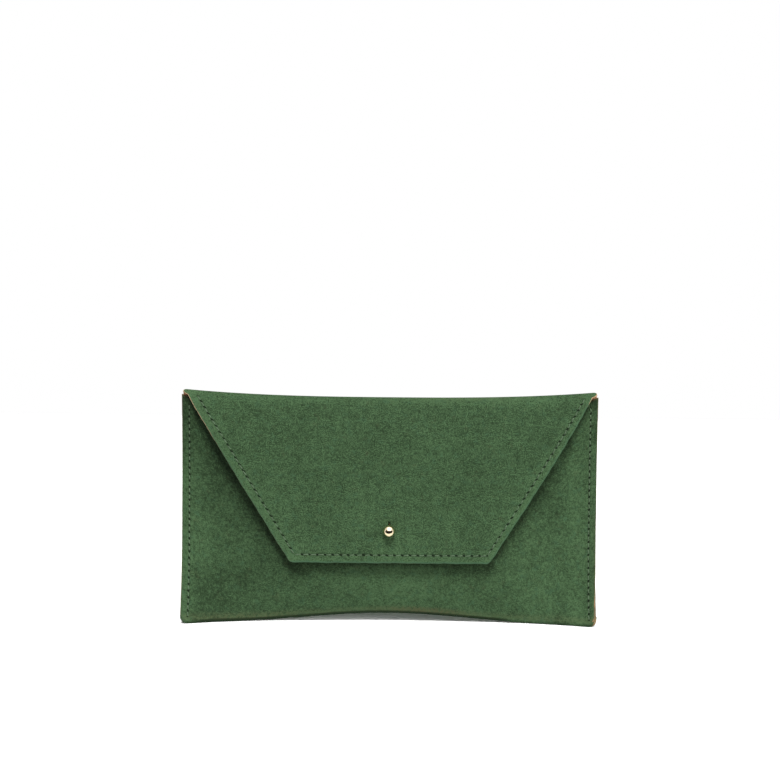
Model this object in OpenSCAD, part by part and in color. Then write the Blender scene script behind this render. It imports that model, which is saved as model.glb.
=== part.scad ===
// Soft suede card holder: an envelope body with a fold-over flap that buttons on a ball stud.
// Millimetres. X runs along the width, the front faces -Y, Z is up.
// The origin is on the table, under the middle of the part's bounding box.

/* [Overall] */
// Width across the top corners
width = 180; // [150:1:216]
// Height of the top corners above the table
height = 100; // [84:1:120]

/* [Leather] */
// Thickness of the suede
suede_t = 1.3; // [1.0:0.05:1.6]
// Thickness of the facing and of the card divider
lining_t = 0.8; // [0.6:0.05:1.0]
// Glue line between two layers
glue = 0.1; // [0.05:0.01:0.2]

/* [Shape of the filled body] */
// How far the front panel stands out in the middle, beyond the side seams
bulge = 6.5; // [5.0:0.1:8.0]
// Half width of the flat field round the stud
flat_half = 18; // [12:1:24]
// How far the middle of the top fold sags below the top corners
top_dip = 2.9; // [0:0.1:5]
// How far the middle of the bottom fold is lifted off the table
bottom_arch = 3.7; // [0:0.1:5]
// How far the side seams are drawn in at half height
side_pinch = 0.6; // [0:0.1:2]
// How far the sides run in towards the table, besides the curl
foot_taper = 0.75; // [0:0.05:1.5]
// How far the lower corners curl forward
corner_curl = 8; // [5:0.5:10]
// Length of each edge that takes part in the curl
curl_reach = 50; // [40:1:58]
// Radius of the cut lower corners
corner_r = 2.6; // [1:0.1:5]
// Lowest point of the pocket mouth, below the top corners
mouth_drop = 16; // [14:0.5:20]
// Ends of the pocket mouth at the side seams, below the top corners
mouth_side = 2.2; // [2:0.1:4]
// Width of the flat strip beside each side seam
seam_flat = 14; // [8:0.5:18]

/* [Flap] */
// Width of the flap's bottom edge
flap_bottom_w = 84.7; // [70:0.1:102]
// How far the flap hangs below the top corners
flap_drop = 72.8; // [60:0.1:78]
// How far the cut ends of the top fold run in before the flap starts
flap_shoulder = 3.0; // [2:0.1:8]
// How far the ends of the top fold are rounded in at its crest
fold_tuck = 2.1; // [0:0.1:3]
// Share of its depth that the flap loses towards its upper corners
flap_fade = 0.25; // [0:0.05:0.6]
// Room between the flap and what lies behind it
flap_room = 0.25; // [0.2:0.05:0.5]

/* [Stud] */
// Diameter of the ball
ball_d = 5; // [4:0.1:6]
// Diameter of the neck
neck_d = 3; // [2.6:0.1:3.6]
// Diameter of the flange that sits on the front panel
flange_d = 5; // [5:0.1:8]
// Thickness of the flange
flange_t = 1.2; // [0.8:0.1:1.6]
// Height of the stud's axis above the flap's bottom edge
stud_rise = 14; // [11:0.1:16]
// Diameter of the screw's shank
screw_d = 1.9; // [1.6:0.1:2.2]
// Diameter of the screw's head
screw_head_d = 5.5; // [4:0.1:6.5]
// Thickness of the screw's head
screw_head_t = 1.0; // [0.8:0.1:1.4]
// Diameter of the leather disc under the screw's head
backing_d = 11; // [9:0.5:13]

/* [Stitching] */
// Distance of the side seams from their edge
seam_inset = 3.2; // [2:0.1:4]
// Distance of the flap's border row from its edge
flap_inset = 3; // [1.5:0.1:4]
// Stitch pitch of the side seams
seam_pitch = 2.75; // [2:0.05:4]
// Stitch pitch of the flap border
flap_pitch = 3.25; // [2:0.05:4]
// Thickness of the thread
thread_d = 0.6; // [0.4:0.05:0.9]

/* [Card divider] */
// Height of the divider's upper edge above the table
divider_top = 62; // [54:1:70]
// Height of the divider's lower edge above the table
divider_low = 8; // [6:0.5:12]

/* [Hidden] */
$fn = 48;
// Depth of the back panel and the divider at the side seams
stack = suede_t + lining_t + 2 * glue;
// Outer radius of the bottom fold
bottom_r = (stack + suede_t) / 2;
// Outer radius of the top fold
fold_r = (stack + 2 * suede_t + flap_room + lining_t + glue) / 2;
// Depth of the middle of the suede where the top fold ends in front
fold_front = 2 * fold_r - suede_t / 2;
// Height of the flap's bottom edge
flap_low = height - flap_drop;
// Height of the stud's axis
stud_z = flap_low + stud_rise;
// Height up to which the filled body is at its fullest
belly_z = stud_z + 6.5;
// Height over which the front panel swells out of the bottom fold
belly_rise = 0.32 * height;
// Depth of the front panel's outer face at the stud
seat = stack + bulge + suede_t;
// Depth of the middle of the flap's suede at the stud
flap_deep = seat + flange_t + flap_room + lining_t + glue + suede_t / 2;
// Length of the stud's neck
neck_h = flap_room + lining_t + glue + suede_t + 0.3;
// Distance of the ball's centre from the flange's rear face
ball_h = flange_t + neck_h + sqrt(pow(ball_d / 2, 2) - pow(neck_d / 2, 2));
// Depth of the whole part, ball included
depth = seat + ball_h + ball_d / 2;
// Where the back panel's outer face lies
back_y = depth / 2;
// Half length of the arch in the bottom fold
arch_half = 0.38 * width;
// Half width at which the front panel starts to swell
swell_half = width / 2 - seam_flat;
// Longest way from the curl's start line to a lower corner
curl_way = curl_reach / sqrt(2);
// Radius of the curl, at the back panel's outer face
curl_r = (pow(curl_way, 2) + pow(corner_curl, 2)) / (2 * corner_curl);
// How far a curled lower corner draws in sideways
curl_narrow = (curl_r * asin(curl_way / curl_r) * PI / 180 - curl_way) / sqrt(2);
// Half width of the flap where the top fold ends in front
flap_top_half = width / 2 - flap_shoulder;
// Power of the flap's fall from the fold to the fullest height
fall = 3;
// Power of the front panel's swelling from the seams to the flat field
swell_power = 2.2;
// Columns of the curved sheets
columns = 44;

function unit(t) = max(0, min(1, t));
function mix(a, b, t) = a + (b - a) * t;
function share(x) = unit(abs(x) / (width / 2));
// Columns stand closer together near both ends
function column(i) = let (t = 2 * i / columns - 1) 1.4 * t - 0.4 * pow(t, 3);
// Centre line of the top fold
function fold_z(x) = height - fold_r - top_dip * (1 - pow(share(x), 2.7));
// Half width of the body at a height
function half_w(z) = width / 2 - side_pinch * sin(180 * unit(z / height))
  - (curl_narrow + foot_taper) * pow(1 - unit(z / curl_reach), 1.6);
// Lowest line of the body
function arch(x) = abs(x) < arch_half ? bottom_arch * (1 + cos(180 * x / arch_half)) / 2 : 0;
function corner_in(x) = max(0, min(corner_r, abs(x) - half_w(bottom_r) + corner_r));
function hem_z(x) = arch(x) + corner_r - sqrt(pow(corner_r, 2) - pow(corner_in(x), 2));
// Upper edge of the front panel
function mouth_z(x) = height - mouth_side - (mouth_drop - mouth_side) * (1 - pow(share(x), 2.5));
// Way past the start line of the corner curl
function curl_p(x, z) = max(0, (abs(x) - width / 2 + curl_reach - z) / sqrt(2));
// Place in depth of a layer that lies a given way in front of the back panel's outer face
function y_at(o, x, z) = back_y - curl_r + sqrt(pow(curl_r - o, 2) - pow(curl_p(x, z), 2));
// Swelling of the front panel
function swell_x(x) = 1 - pow(1 - unit((swell_half - abs(x)) / (swell_half - flat_half)), swell_power);
function swell_low(x, z) = 1 - pow(1 - unit((z - hem_z(x) - bottom_r) / belly_rise), 1.8);
function swell_top(z) = 1 - 0.9 * pow(unit((z - belly_z) / (height - belly_z)), 2);
function swell(x, z) = bulge * swell_x(x) * min(swell_low(x, z), swell_top(z));
// Depth that the flap falls to
function flap_goal(x) = mix(fold_front, flap_deep, 1 - flap_fade * pow(share(x), 2));
// A point of the top fold, as depth and height
function fold_at(x, r, a) = [fold_r - r * cos(a), fold_z(x) + r * sin(a)];
function fold_aim(x, s) = 180 - atan(fall * (flap_goal(x) - s[0]) / (s[1] - belly_z));
function fold_mid(x, a) = fold_at(x, fold_r - suede_t / 2, a);
// Angle at which the top fold ends, so that the flap leaves it smoothly
function fold_turn(x) = fold_aim(x, fold_mid(x, fold_aim(x, [fold_front, fold_z(x)])));
function flap_start(x) = fold_mid(x, fold_turn(x));
// A point of the flap at a height, a given way in front of the middle of its suede
function flap_at(x, z, off) =
  let (s = flap_start(x), t = unit((s[1] - z) / (s[1] - belly_z)))
  let (d = s[0] + (flap_goal(x) - s[0]) * (1 - pow(1 - t, fall)))
  let (m = fall * (flap_goal(x) - s[0]) * pow(1 - t, fall - 1) / (s[1] - belly_z))
  let (k = off / sqrt(1 + m * m))
  [x, back_y - d - k, z + k * m];
// Grids of points of the curved sheets
function flap_half(v) = mix(flap_top_half, flap_bottom_w / 2, v);
function flap_grid(v0, off) = [for (j = [0 : 20]) let (v = mix(v0, 1, j / 20))
  [for (i = [0 : columns]) let (x = column(i) * flap_half(v))
    flap_at(x, mix(flap_start(x)[1], flap_low, v), off)]];
function fold_grid(r) = [for (j = [0 : 10])
  [for (i = [0 : columns]) let (end = width / 2 - fold_tuck * (1 - abs(cos(18 * j))))
    let (x = column(i) * mix(end, flap_top_half, pow(j / 10, 8)))
    let (p = fold_at(x, r, fold_turn(x) * j / 10))
    [x, back_y - p[0], p[1]]]];
function hem_row(r, a) = [for (i = [0 : columns]) let (x = column(i) * half_w(bottom_r))
  let (z = hem_z(x) + bottom_r)
  [x, y_at(bottom_r + r * cos(a), x, z + r * sin(a)), z + r * sin(a)]];
function panel_row(o, v) = [for (i = [0 : columns])
  let (x0 = column(i) * half_w(bottom_r), x1 = column(i) * half_w(height - mouth_side))
  let (z = mix(hem_z(x0) + bottom_r, mouth_z(x1), v))
  let (x = column(i) * half_w(mix(bottom_r, height - mouth_side, v)))
  [x, y_at(o + swell(x, z), x, z), z]];
function divider_row(o, z) = [for (i = [0 : columns]) let (x = column(i) * (half_w(z) - 0.3))
  [x, y_at(o, x, z), z]];
function divider_grid(o) = [for (j = [0 : 10]) divider_row(o, mix(divider_low, divider_top, j / 10))];
function panel_grid(r, o) = concat([for (a = [180 : 22.5 : 337.5]) hem_row(r, a)],
  [for (j = [0 : 20]) panel_row(o, j / 20)]);

// A closed sheet between two grids of points
module sheet(first, second) {
  rows = len(first);
  cols = len(first[0]);
  n = rows * cols;
  points = concat([for (row = first) each row], [for (row = second) each row]);
  skin = [for (j = [0 : rows - 2]) for (i = [0 : cols - 2]) let (a = j * cols + i)
    each [[a, a + 1, a + cols], [a + 1, a + cols + 1, a + cols]]];
  inside = [for (f = skin) [f[2] + n, f[1] + n, f[0] + n]];
  loop = concat([for (i = [0 : cols - 2]) i], [for (j = [0 : rows - 2]) j * cols + cols - 1],
    [for (i = [cols - 1 : -1 : 1]) (rows - 1) * cols + i], [for (j = [rows - 1 : -1 : 1]) j * cols]);
  rim = [for (k = [0 : len(loop) - 1]) let (a = loop[k], b = loop[(k + 1) % len(loop)])
    each [[a, b + n, b], [a, a + n, b + n]]];
  polyhedron(points, concat(skin, inside, rim));
}

// A flat sheet with curled lower corners, cut to an outline
module curled_sheet(t) {
  translate([0, back_y, 0]) rotate([90, 0, 0]) linear_extrude(t) intersection() {
    children();
    polygon([[-width, height + 1], [-width, width / 2 + curl_reach], [-width / 2 + curl_reach, 0],
      [-width / 2 + curl_reach - 9, -9], [width / 2 - curl_reach + 9, -9], [width / 2 - curl_reach, 0],
      [width, width / 2 + curl_reach], [width, height + 1]]);
  }
  for (side = [0, 1]) mirror([side, 0, 0]) intersection() {
    translate([0, back_y + 1, 0]) rotate([90, 0, 0]) linear_extrude(corner_curl + 12) children();
    translate([width / 2 - curl_reach, back_y - curl_r, 0]) rotate([0, 45, 0]) rotate([0, 0, 58])
      rotate_extrude(angle = 32, $fn = 180) translate([curl_r - t, -30]) square([t, 140]);
  }
}

// A straight rod between two points
module rod(a, b) {
  v = b - a;
  translate(a) rotate([0, acos(v[2] / norm(v)), atan2(v[1], v[0])])
    cylinder(h = norm(v), d = thread_d, $fn = 16);
}

// Everything of the stud is drawn along its axis, from the front panel's outer face
module on_stud_axis(h) {
  translate([0, back_y - seat - h, stud_z]) rotate([90, 0, 0]) children();
}

module body_outline() {
  top = [for (i = [columns : -1 : 0]) let (x = column(i) * width / 2) [x, fold_z(x)]];
  low = [for (i = [0 : columns]) let (x = column(i) * half_w(bottom_r)) [x, hem_z(x) + bottom_r]];
  side = [for (j = [1 : 15]) mix(corner_r + bottom_r, height - fold_r, j / 16)];
  right = [for (z = side) [half_w(z), z]];
  left = [for (j = [14 : -1 : 0]) [-half_w(side[j]), side[j]]];
  polygon(concat(low, right, top, left));
}

module back_panel() {
  color([0.20, 0.30, 0.20]) curled_sheet(suede_t) body_outline();
}

module card_divider() {
  rear = suede_t + glue;
  color([0.62, 0.43, 0.26]) sheet(divider_grid(rear), divider_grid(rear + lining_t));
}

module front_panel() {
  color([0.24, 0.35, 0.23]) difference() {
    sheet(panel_grid(bottom_r - suede_t, stack), panel_grid(bottom_r, stack + suede_t));
    on_stud_axis(-suede_t - 1) cylinder(h = suede_t + 2, d = screw_d + 0.3);
  }
}

module top_fold() {
  color([0.22, 0.33, 0.22]) sheet(fold_grid(fold_r), fold_grid(fold_r - suede_t));
}

// The buttonhole has the size that its lips open to when the ball goes through
module buttonhole() {
  on_stud_axis(0) cylinder(h = depth, d = ball_d + 0.7);
}

module flap_panel() {
  color([0.26, 0.37, 0.25]) difference() {
    sheet(flap_grid(0, suede_t / 2), flap_grid(0, -suede_t / 2));
    buttonhole();
  }
}

module flap_facing() {
  face = -suede_t / 2 - glue;
  color([0.68, 0.48, 0.30]) difference() {
    sheet(flap_grid(0.02, face), flap_grid(0.02, face - lining_t));
    buttonhole();
  }
}

// One side seam: bars of thread sunk flush in the front panel and in the back panel
module seam_thread(side) {
  low = bottom_r * 2 + 1.5;
  count = floor((height - 6 - low) / seam_pitch);
  sink = thread_d / 2 + 0.06;
  for (i = [0 : count - 1]) for (o = [sink, stack + suede_t - sink]) {
    z0 = low + i * seam_pitch;
    z1 = z0 + 0.66 * seam_pitch;
    x0 = side * (half_w(z0) - seam_inset);
    x1 = side * (half_w(z1) - seam_inset);
    rod([x0, y_at(o, x0, z0), z0], [x1, y_at(o, x1, z1), z1]);
  }
}

module seam_thread_left() {
  color([0.17, 0.25, 0.17]) seam_thread(-1);
}

module seam_thread_right() {
  color([0.17, 0.25, 0.17]) seam_thread(1);
}

// The flap's border row: both slanted edges and the bottom edge, on the suede and on the facing
module flap_thread() {
  high = flap_start(flap_top_half)[1];
  slope = atan((flap_top_half - flap_bottom_w / 2) / (high - flap_low));
  row_z = flap_low + flap_inset;
  row_top = high - 2.5;
  row_half = flap_half((high - row_z) / (high - flap_low)) - flap_inset / cos(slope);
  top_half = flap_half((high - row_top) / (high - flap_low)) - flap_inset / cos(slope);
  steps = round((row_top - row_z) / cos(slope) / flap_pitch);
  across = round(2 * row_half / flap_pitch);
  sink = thread_d / 2 + 0.06;
  function slant(side, t, off) = flap_at(side * mix(row_half, top_half, t), mix(row_z, row_top, t), off);
  function level(t, off) = flap_at(mix(-row_half, row_half, t), row_z, off);
  for (off = [suede_t / 2 - sink, -suede_t / 2 - glue - lining_t + sink]) color([0.17, 0.25, 0.17]) {
    for (i = [0 : steps - 1]) for (side = [-1, 1])
      rod(slant(side, (i + 0.18) / steps, off), slant(side, (i + 0.84) / steps, off));
    for (i = [0 : across - 1])
      rod(level((i + 0.17) / across, off), level((i + 0.83) / across, off));
  }
}

module ball_stud() {
  color([0.85, 0.66, 0.30]) difference() {
    union() {
      on_stud_axis(0) cylinder(h = flange_t, d = flange_d);
      on_stud_axis(0) cylinder(h = ball_h, d = neck_d);
      on_stud_axis(ball_h) sphere(d = ball_d);
    }
    on_stud_axis(-1) cylinder(h = 4.2, d = screw_d + 0.1);
  }
}

module stud_screw() {
  under = suede_t + glue / 2 + lining_t + 0.05;
  color([0.80, 0.62, 0.30]) difference() {
    union() {
      on_stud_axis(-under - screw_head_t) cylinder(h = screw_head_t, d = screw_head_d);
      on_stud_axis(-under) cylinder(h = under + 2.8, d = screw_d);
    }
    on_stud_axis(-under - screw_head_t - 0.5) translate([-screw_head_d, -0.4, 0])
      cube([2 * screw_head_d, 0.8, 1]);
  }
}

module stud_backing() {
  color([0.55, 0.38, 0.24]) on_stud_axis(-suede_t - glue / 2 - lining_t) difference() {
    cylinder(h = lining_t, d = backing_d);
    translate([0, 0, -1]) cylinder(h = lining_t + 2, d = screw_d + 0.3);
  }
}

back_panel();
front_panel();
top_fold();
flap_panel();
flap_facing();
card_divider();
seam_thread_left();
seam_thread_right();
flap_thread();
ball_stud();
stud_screw();
stud_backing();
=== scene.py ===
import math

import bpy
import numpy as np
from bpy.props import FloatProperty, FloatVectorProperty, IntProperty, PointerProperty
from bpy.types import Operator, Panel, PropertyGroup
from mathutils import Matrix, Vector


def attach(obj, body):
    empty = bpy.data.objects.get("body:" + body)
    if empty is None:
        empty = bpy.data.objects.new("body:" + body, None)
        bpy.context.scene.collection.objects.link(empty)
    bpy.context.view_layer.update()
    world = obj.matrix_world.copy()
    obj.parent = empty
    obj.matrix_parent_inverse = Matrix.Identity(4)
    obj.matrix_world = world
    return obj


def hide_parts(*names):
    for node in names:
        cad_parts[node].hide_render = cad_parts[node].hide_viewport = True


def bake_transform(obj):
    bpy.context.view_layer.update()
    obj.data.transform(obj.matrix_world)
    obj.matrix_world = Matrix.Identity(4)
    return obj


bl_info = {
    "name": "Suede card holder",
    "version": (1, 0, 0),
    "blender": (4, 5, 0),
    "location": "3D View > Sidebar > Card holder",
    "description": "Builds the visible pieces of a suede card holder over its construction model",
    "category": "Object",
}

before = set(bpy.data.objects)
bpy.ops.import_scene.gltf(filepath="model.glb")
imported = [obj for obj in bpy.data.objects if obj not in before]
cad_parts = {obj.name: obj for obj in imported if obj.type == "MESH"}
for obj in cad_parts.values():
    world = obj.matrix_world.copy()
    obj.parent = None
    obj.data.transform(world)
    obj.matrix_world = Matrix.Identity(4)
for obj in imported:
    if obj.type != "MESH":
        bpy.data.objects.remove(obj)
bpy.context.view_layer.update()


def length(name, default, description):
    """A size in metres, as a property."""
    return FloatProperty(
        name=name, description=description, default=default, min=0.0, precision=5, unit="LENGTH"
    )


def factor(name, default, description, high=1.0):
    """A plain number, as a property."""
    return FloatProperty(name=name, description=description, default=default, min=0.0, max=high, precision=3)


def turn(name, default, description):
    """An angle given in degrees, as a property."""
    angle = math.radians(default)
    return FloatProperty(name=name, description=description, default=angle, unit="ROTATION", subtype="ANGLE")


def tone(name, default, description):
    """A linear colour, as a property."""
    return FloatVectorProperty(
        name=name, description=description, default=default, size=3, min=0.0, max=1.0, subtype="COLOR"
    )


class HolderBody(PropertyGroup):
    """Sizes of the envelope body."""

    width: length("Width", 0.180, "Across the top corners")
    height: length("Height", 0.100, "Top corners above the table")
    suede: length("Suede", 0.0013, "Thickness of the suede")
    lining: length("Lining", 0.0008, "Thickness of the facing and of the divider")
    glue: length("Glue line", 0.0001, "Between two layers")
    bulge: length("Bulge", 0.0065, "How far the front panel stands out in the middle")
    flat_half: length("Flat field", 0.018, "Half width of the flat field round the stud")
    top_dip: length("Top dip", 0.0029, "Sag of the top fold")
    bottom_arch: length("Bottom arch", 0.0037, "Lift of the bottom fold's middle")
    side_pinch: length("Side pinch", 0.0006, "How far the seams are drawn in")
    foot_taper: length("Foot taper", 0.00075, "How far the sides run in towards the table, besides the curl")
    corner_curl: length("Corner curl", 0.008, "How far the lower corners curl forward")
    curl_reach: length("Curl reach", 0.050, "Length of each edge that takes part in the curl")
    corner_r: length("Corner radius", 0.0026, "Radius of the cut lower corners")
    mouth_drop: length("Mouth drop", 0.016, "Lowest point of the mouth below the top corners")
    mouth_side: length("Mouth ends", 0.0022, "Ends of the mouth below the top corners")
    seam_flat: length("Seam strip", 0.014, "Width of the flat strip beside each side seam")
    divider_top: length("Divider top", 0.062, "Upper edge of the card divider")
    divider_low: length("Divider low", 0.008, "Lower edge of the card divider")
    step: length("Edge step", 0.0008, "How far the front's lower right edge lies inside the back's")
    flare: length("Edge flare", 0.00045, "How far the back's lower right edge is drawn out")
    ripple: length("Ripple", 0.00012, "Height of the soft waves in the leather")
    round: length("Edge round", 0.00032, "Radius of the worn cut edges")
    belly: length("Belly", 0.0065, "Fullest line of the front above the stud's axis")
    belly_rise: factor("Belly rise", 0.32, "Height over which the front fills out, as a share of the height")
    arch_share: factor("Arch", 0.38, "Half width of the bottom arch, as a share of the width")
    edge_reach: length("Edge reach", 0.0028, "Width of the strip that the step and the flare take up")


class HolderFlap(PropertyGroup):
    """Sizes of the flap."""

    bottom_width: length("Bottom width", 0.0847, "Width of the bottom edge")
    drop: length("Drop", 0.0728, "Bottom edge below the top corners")
    shoulder: length("Shoulder", 0.0030, "Width of the step where the flap leaves the fold")
    tuck: length("Fold tuck", 0.0021, "How far the fold's ends are rounded in at its crest")
    fade: factor("Fade", 0.25, "Share of its depth that the flap loses towards its upper corners")
    fall: factor("Fall", 3.0, "How soon the flap reaches its full depth", 9.0)
    uneven: length("Uneven edge", 0.00020, "Departures of the cut edges from their lines")
    left_in: length("Left edge", 0.0009, "How far the left edge lies inside the right one's mirror line")
    room: length("Room", 0.00025, "Between the flap and what lies behind it")
    corner: length("Corner radius", 0.0016, "Radius of the two bottom corners")
    hole: length("Buttonhole", 0.0034, "Diameter of the buttonhole round the neck")
    slit: length("Slit", 0.0036, "Tip of the slit above the stud's axis")
    slit_width: length("Slit width", 0.0011, "Width of the slit where it leaves the hole")


class HolderStud(PropertyGroup):
    """Sizes of the ball stud."""

    ball: length("Ball", 0.005, "Diameter of the ball")
    neck: length("Neck", 0.003, "Diameter of the neck")
    flange: length("Flange", 0.0050, "Diameter of the flange")
    flange_thick: length("Flange thickness", 0.0012, "Thickness of the flange")
    rise: length("Rise", 0.0140, "Axis above the flap's bottom edge")
    bore: length("Bore", 0.002, "Diameter of the bore for the screw")
    bore_deep: length("Bore depth", 0.0032, "Depth of the bore for the screw")
    neck_spare: length("Neck spare", 0.0003, "Length of the neck beyond the flap's layers")
    edge_r: length("Edge radius", 0.00018, "Radius of the turned edges")


class HolderStitch(PropertyGroup):
    """Sizes of the stitching."""

    seam_inset: length("Seam inset", 0.0032, "Side seams from their edge")
    flap_inset: length("Flap inset", 0.0034, "Flap border row from its left and bottom edges")
    right_inset: length("Right inset", 0.0026, "Flap border row from its right edge")
    seam_pitch: length("Seam pitch", 0.00275, "Stitch pitch of the side seams")
    flap_pitch: length("Flap pitch", 0.00325, "Stitch pitch of the flap border")
    thread: length("Thread", 0.00046, "Diameter of the thread")
    rise: length("Rise", 0.00001, "Middle of a stitch above the leather")
    sink: length("Sink", 0.00034, "Ends of a stitch below the leather")
    tilt: turn("Tilt", 7.0, "Slant of a stitch in its row")
    seed: IntProperty(name="Seed", description="Seed of the small differences between stitches", default=7)


class HolderLook(PropertyGroup):
    """Colours and surface numbers."""

    suede_dark: tone("Suede, dark", (0.0165, 0.0315, 0.0140), "Nap brushed away from the light")
    suede_pale: tone("Suede, pale", (0.0780, 0.1480, 0.0670), "Nap brushed towards the light")
    suede_teal: tone("Suede, cool", (0.0400, 0.0950, 0.0520), "Cool flecks of the dye")
    suede_edge: tone("Suede, edge", (0.0560, 0.1230, 0.0680), "Loose fibres along the flap's cut edges")
    suede_brown: tone("Suede, warm", (0.0850, 0.0800, 0.0400), "Thin dye on worn folds")
    raw: tone("Raw leather", (0.70, 0.47, 0.29), "Undyed core at the cut edges")
    # Painted shade for the cut edges near the foot
    foot_edge_shade: tone("Soiled edge", (0.150, 0.118, 0.058), "Cut edge near the foot, with dye and dirt rubbed in")
    leather: tone("Leather", (0.42, 0.23, 0.11), "Facing and divider")
    leather_deep: tone("Leather, deep", (0.26, 0.13, 0.06), "Pores and shaded grain of the leather")
    thread: tone("Thread", (0.125, 0.190, 0.112), "Sewing thread")
    brass: tone("Brass", (0.93, 0.78, 0.52), "Polished ball of the stud")
    # brass_dull serves as tarnish on the ball and as painted shade on the neck, the flange and the screw
    brass_dull: tone("Brass, dull", (0.24, 0.15, 0.06), "Tarnish on the stud's neck and on the screw")
    brass_rough: factor("Brass roughness", 0.12, "Roughness of the polished stud")
    nap: factor("Nap", 0.55, "Depth of the nap's relief, in tenths of a millimetre", 3.0)


class HolderStage(PropertyGroup):
    """Camera, light and floor."""

    camera_x: FloatProperty(
        name="Camera X", description="Camera to the right", default=-0.0001, unit="LENGTH"
    )
    distance: length("Camera distance", 0.400, "Camera in front of the origin")
    camera_z: length("Camera height", 0.1002, "Camera above the floor")
    lens: FloatProperty(name="Lens", description="Focal length in millimetres", default=43.4, min=10.0)
    roll: turn("Roll", -0.52, "Roll of the camera")
    key: factor("Key", 3.25, "Strength of the overhead key light", 50.0)
    side: factor("Side", 1.85, "Strength of the light from the right", 50.0)
    rear: factor("Rear", 2.0, "Strength of the light from behind", 50.0)
    softness: turn("Softness", 18.0, "Angle that each light fills")
    fill: factor("Fill", 0.04, "Brightness of the room", 10.0)
    # The room's brightness in polished metal is a painted reflection, brighter than the light the room gives
    shine: factor("Shine", 0.75, "Brightness of the room in polished metal", 10.0)
    floor: factor("Floor", 1.42, "Tone of the floor in the picture, over one as it is exposed to white", 4.0)
    bounce: factor("Bounce", 0.66, "Tone of the floor in the light that it throws back")


class CardHolder(PropertyGroup):
    """All settings of the card holder."""

    body: PointerProperty(type=HolderBody)
    flap: PointerProperty(type=HolderFlap)
    stud: PointerProperty(type=HolderStud)
    stitch: PointerProperty(type=HolderStitch)
    look: PointerProperty(type=HolderLook)
    stage: PointerProperty(type=HolderStage)


def unit(t):
    """Held between nothing and one."""
    return np.clip(t, 0.0, 1.0)


def mix(a, b, t):
    """From a to b, by a share t."""
    return a + (b - a) * t


def smooth(t):
    """An eased step from nothing to one."""
    t = unit(t)
    return t * t * (3.0 - 2.0 * t)


def rise(t, start, span):
    """Nothing up to start, growing to one a span later."""
    return smooth((t - start) / span)


def fall(t, start, span):
    """One up to start, falling to nothing a span later."""
    return 1.0 - rise(t, start, span)


def hump(t, centre, half):
    """One at the centre, falling to nothing at half's distance."""
    return 1.0 - smooth(np.abs(t - centre) / half)


# How late the curves of the form bend: top dip, mouth, foot taper, front across and front upwards
DIP_POWER = 2.7
MOUTH_POWER = 2.5
TAPER_POWER = 1.6
ACROSS_POWER = 2.2
RISE_POWER = 1.8
# Share of its swell that the front has lost at the top
TOP_LOSS = 0.9

# Lengths of the soft waves in the leather, their sum that counts as one, and lengths of a cut edge's waves
WAVE_SIZES = (0.062, 0.047, 0.036, 0.027, 0.021)
WAVE_PEAK = 3.2
EDGE_SIZES = (0.0041, 0.0067, 0.0113, 0.0190)
# Seeds of the waves of each sheet and of the flap's three cut edges
BACK_SEED, FLAP_SEED, FRONT_SEED = 3, 5, 11
LEFT_SEED, RIGHT_SEED, BOTTOM_SEED = 21, 22, 23

# Painted shade along the flap's edges on the front, on top of the real shadow that the flap casts there, left
# and right: strength and added width
FLAP_EDGE_SHADE = (0.75, 0.65)
EDGE_SHADE_WIDER = (0.011, 0.007)
# Its least width, the strength of its wide surround, and how much of it is lost behind the flap
EDGE_SHADE_WIDTH = 0.005
EDGE_SHADE_AROUND = 0.3
EDGE_SHADE_LOST = 0.35
# How much painted shade darkens the left foot and the right foot, how much painted light brightens the strip
# beside it, and how much painted shade darkens the margins
FOOT_LEFT, FOOT_RIGHT, STRIP_RIGHT = 0.8, 0.5, -0.25
MARGIN_TOP, MARGIN_RIGHT = 0.6, 0.35
MARGIN_WIDTH = 0.0045
# Patches of the front panel painted darker or paler, partly as painted shade:
# x, z, half width, half height, and how much darker (below nothing: paler)
TONE_PATCHES = (
    (-0.077, 0.056, 0.010, 0.014, 0.50),
    (-0.042, 0.021, 0.014, 0.010, 0.35),
    (-0.064, 0.009, 0.011, 0.006, -0.35),
    (0.032, 0.0225, 0.016, 0.006, 0.55),
    (0.070, 0.048, 0.014, 0.016, 0.40),
    (0.004, 0.0165, 0.030, 0.013, -0.35),
)
# How far the flap's nap gets painted shade towards the fold, is made paler along its rim, gets a painted
# highlight at its crest, and is made darker at a corner
FLAP_SHADE, FLAP_RIM, FLAP_CREST, FLAP_CORNER = 0.32, 0.6, 0.5, 0.4
RIM_LOW = 0.4


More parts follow.
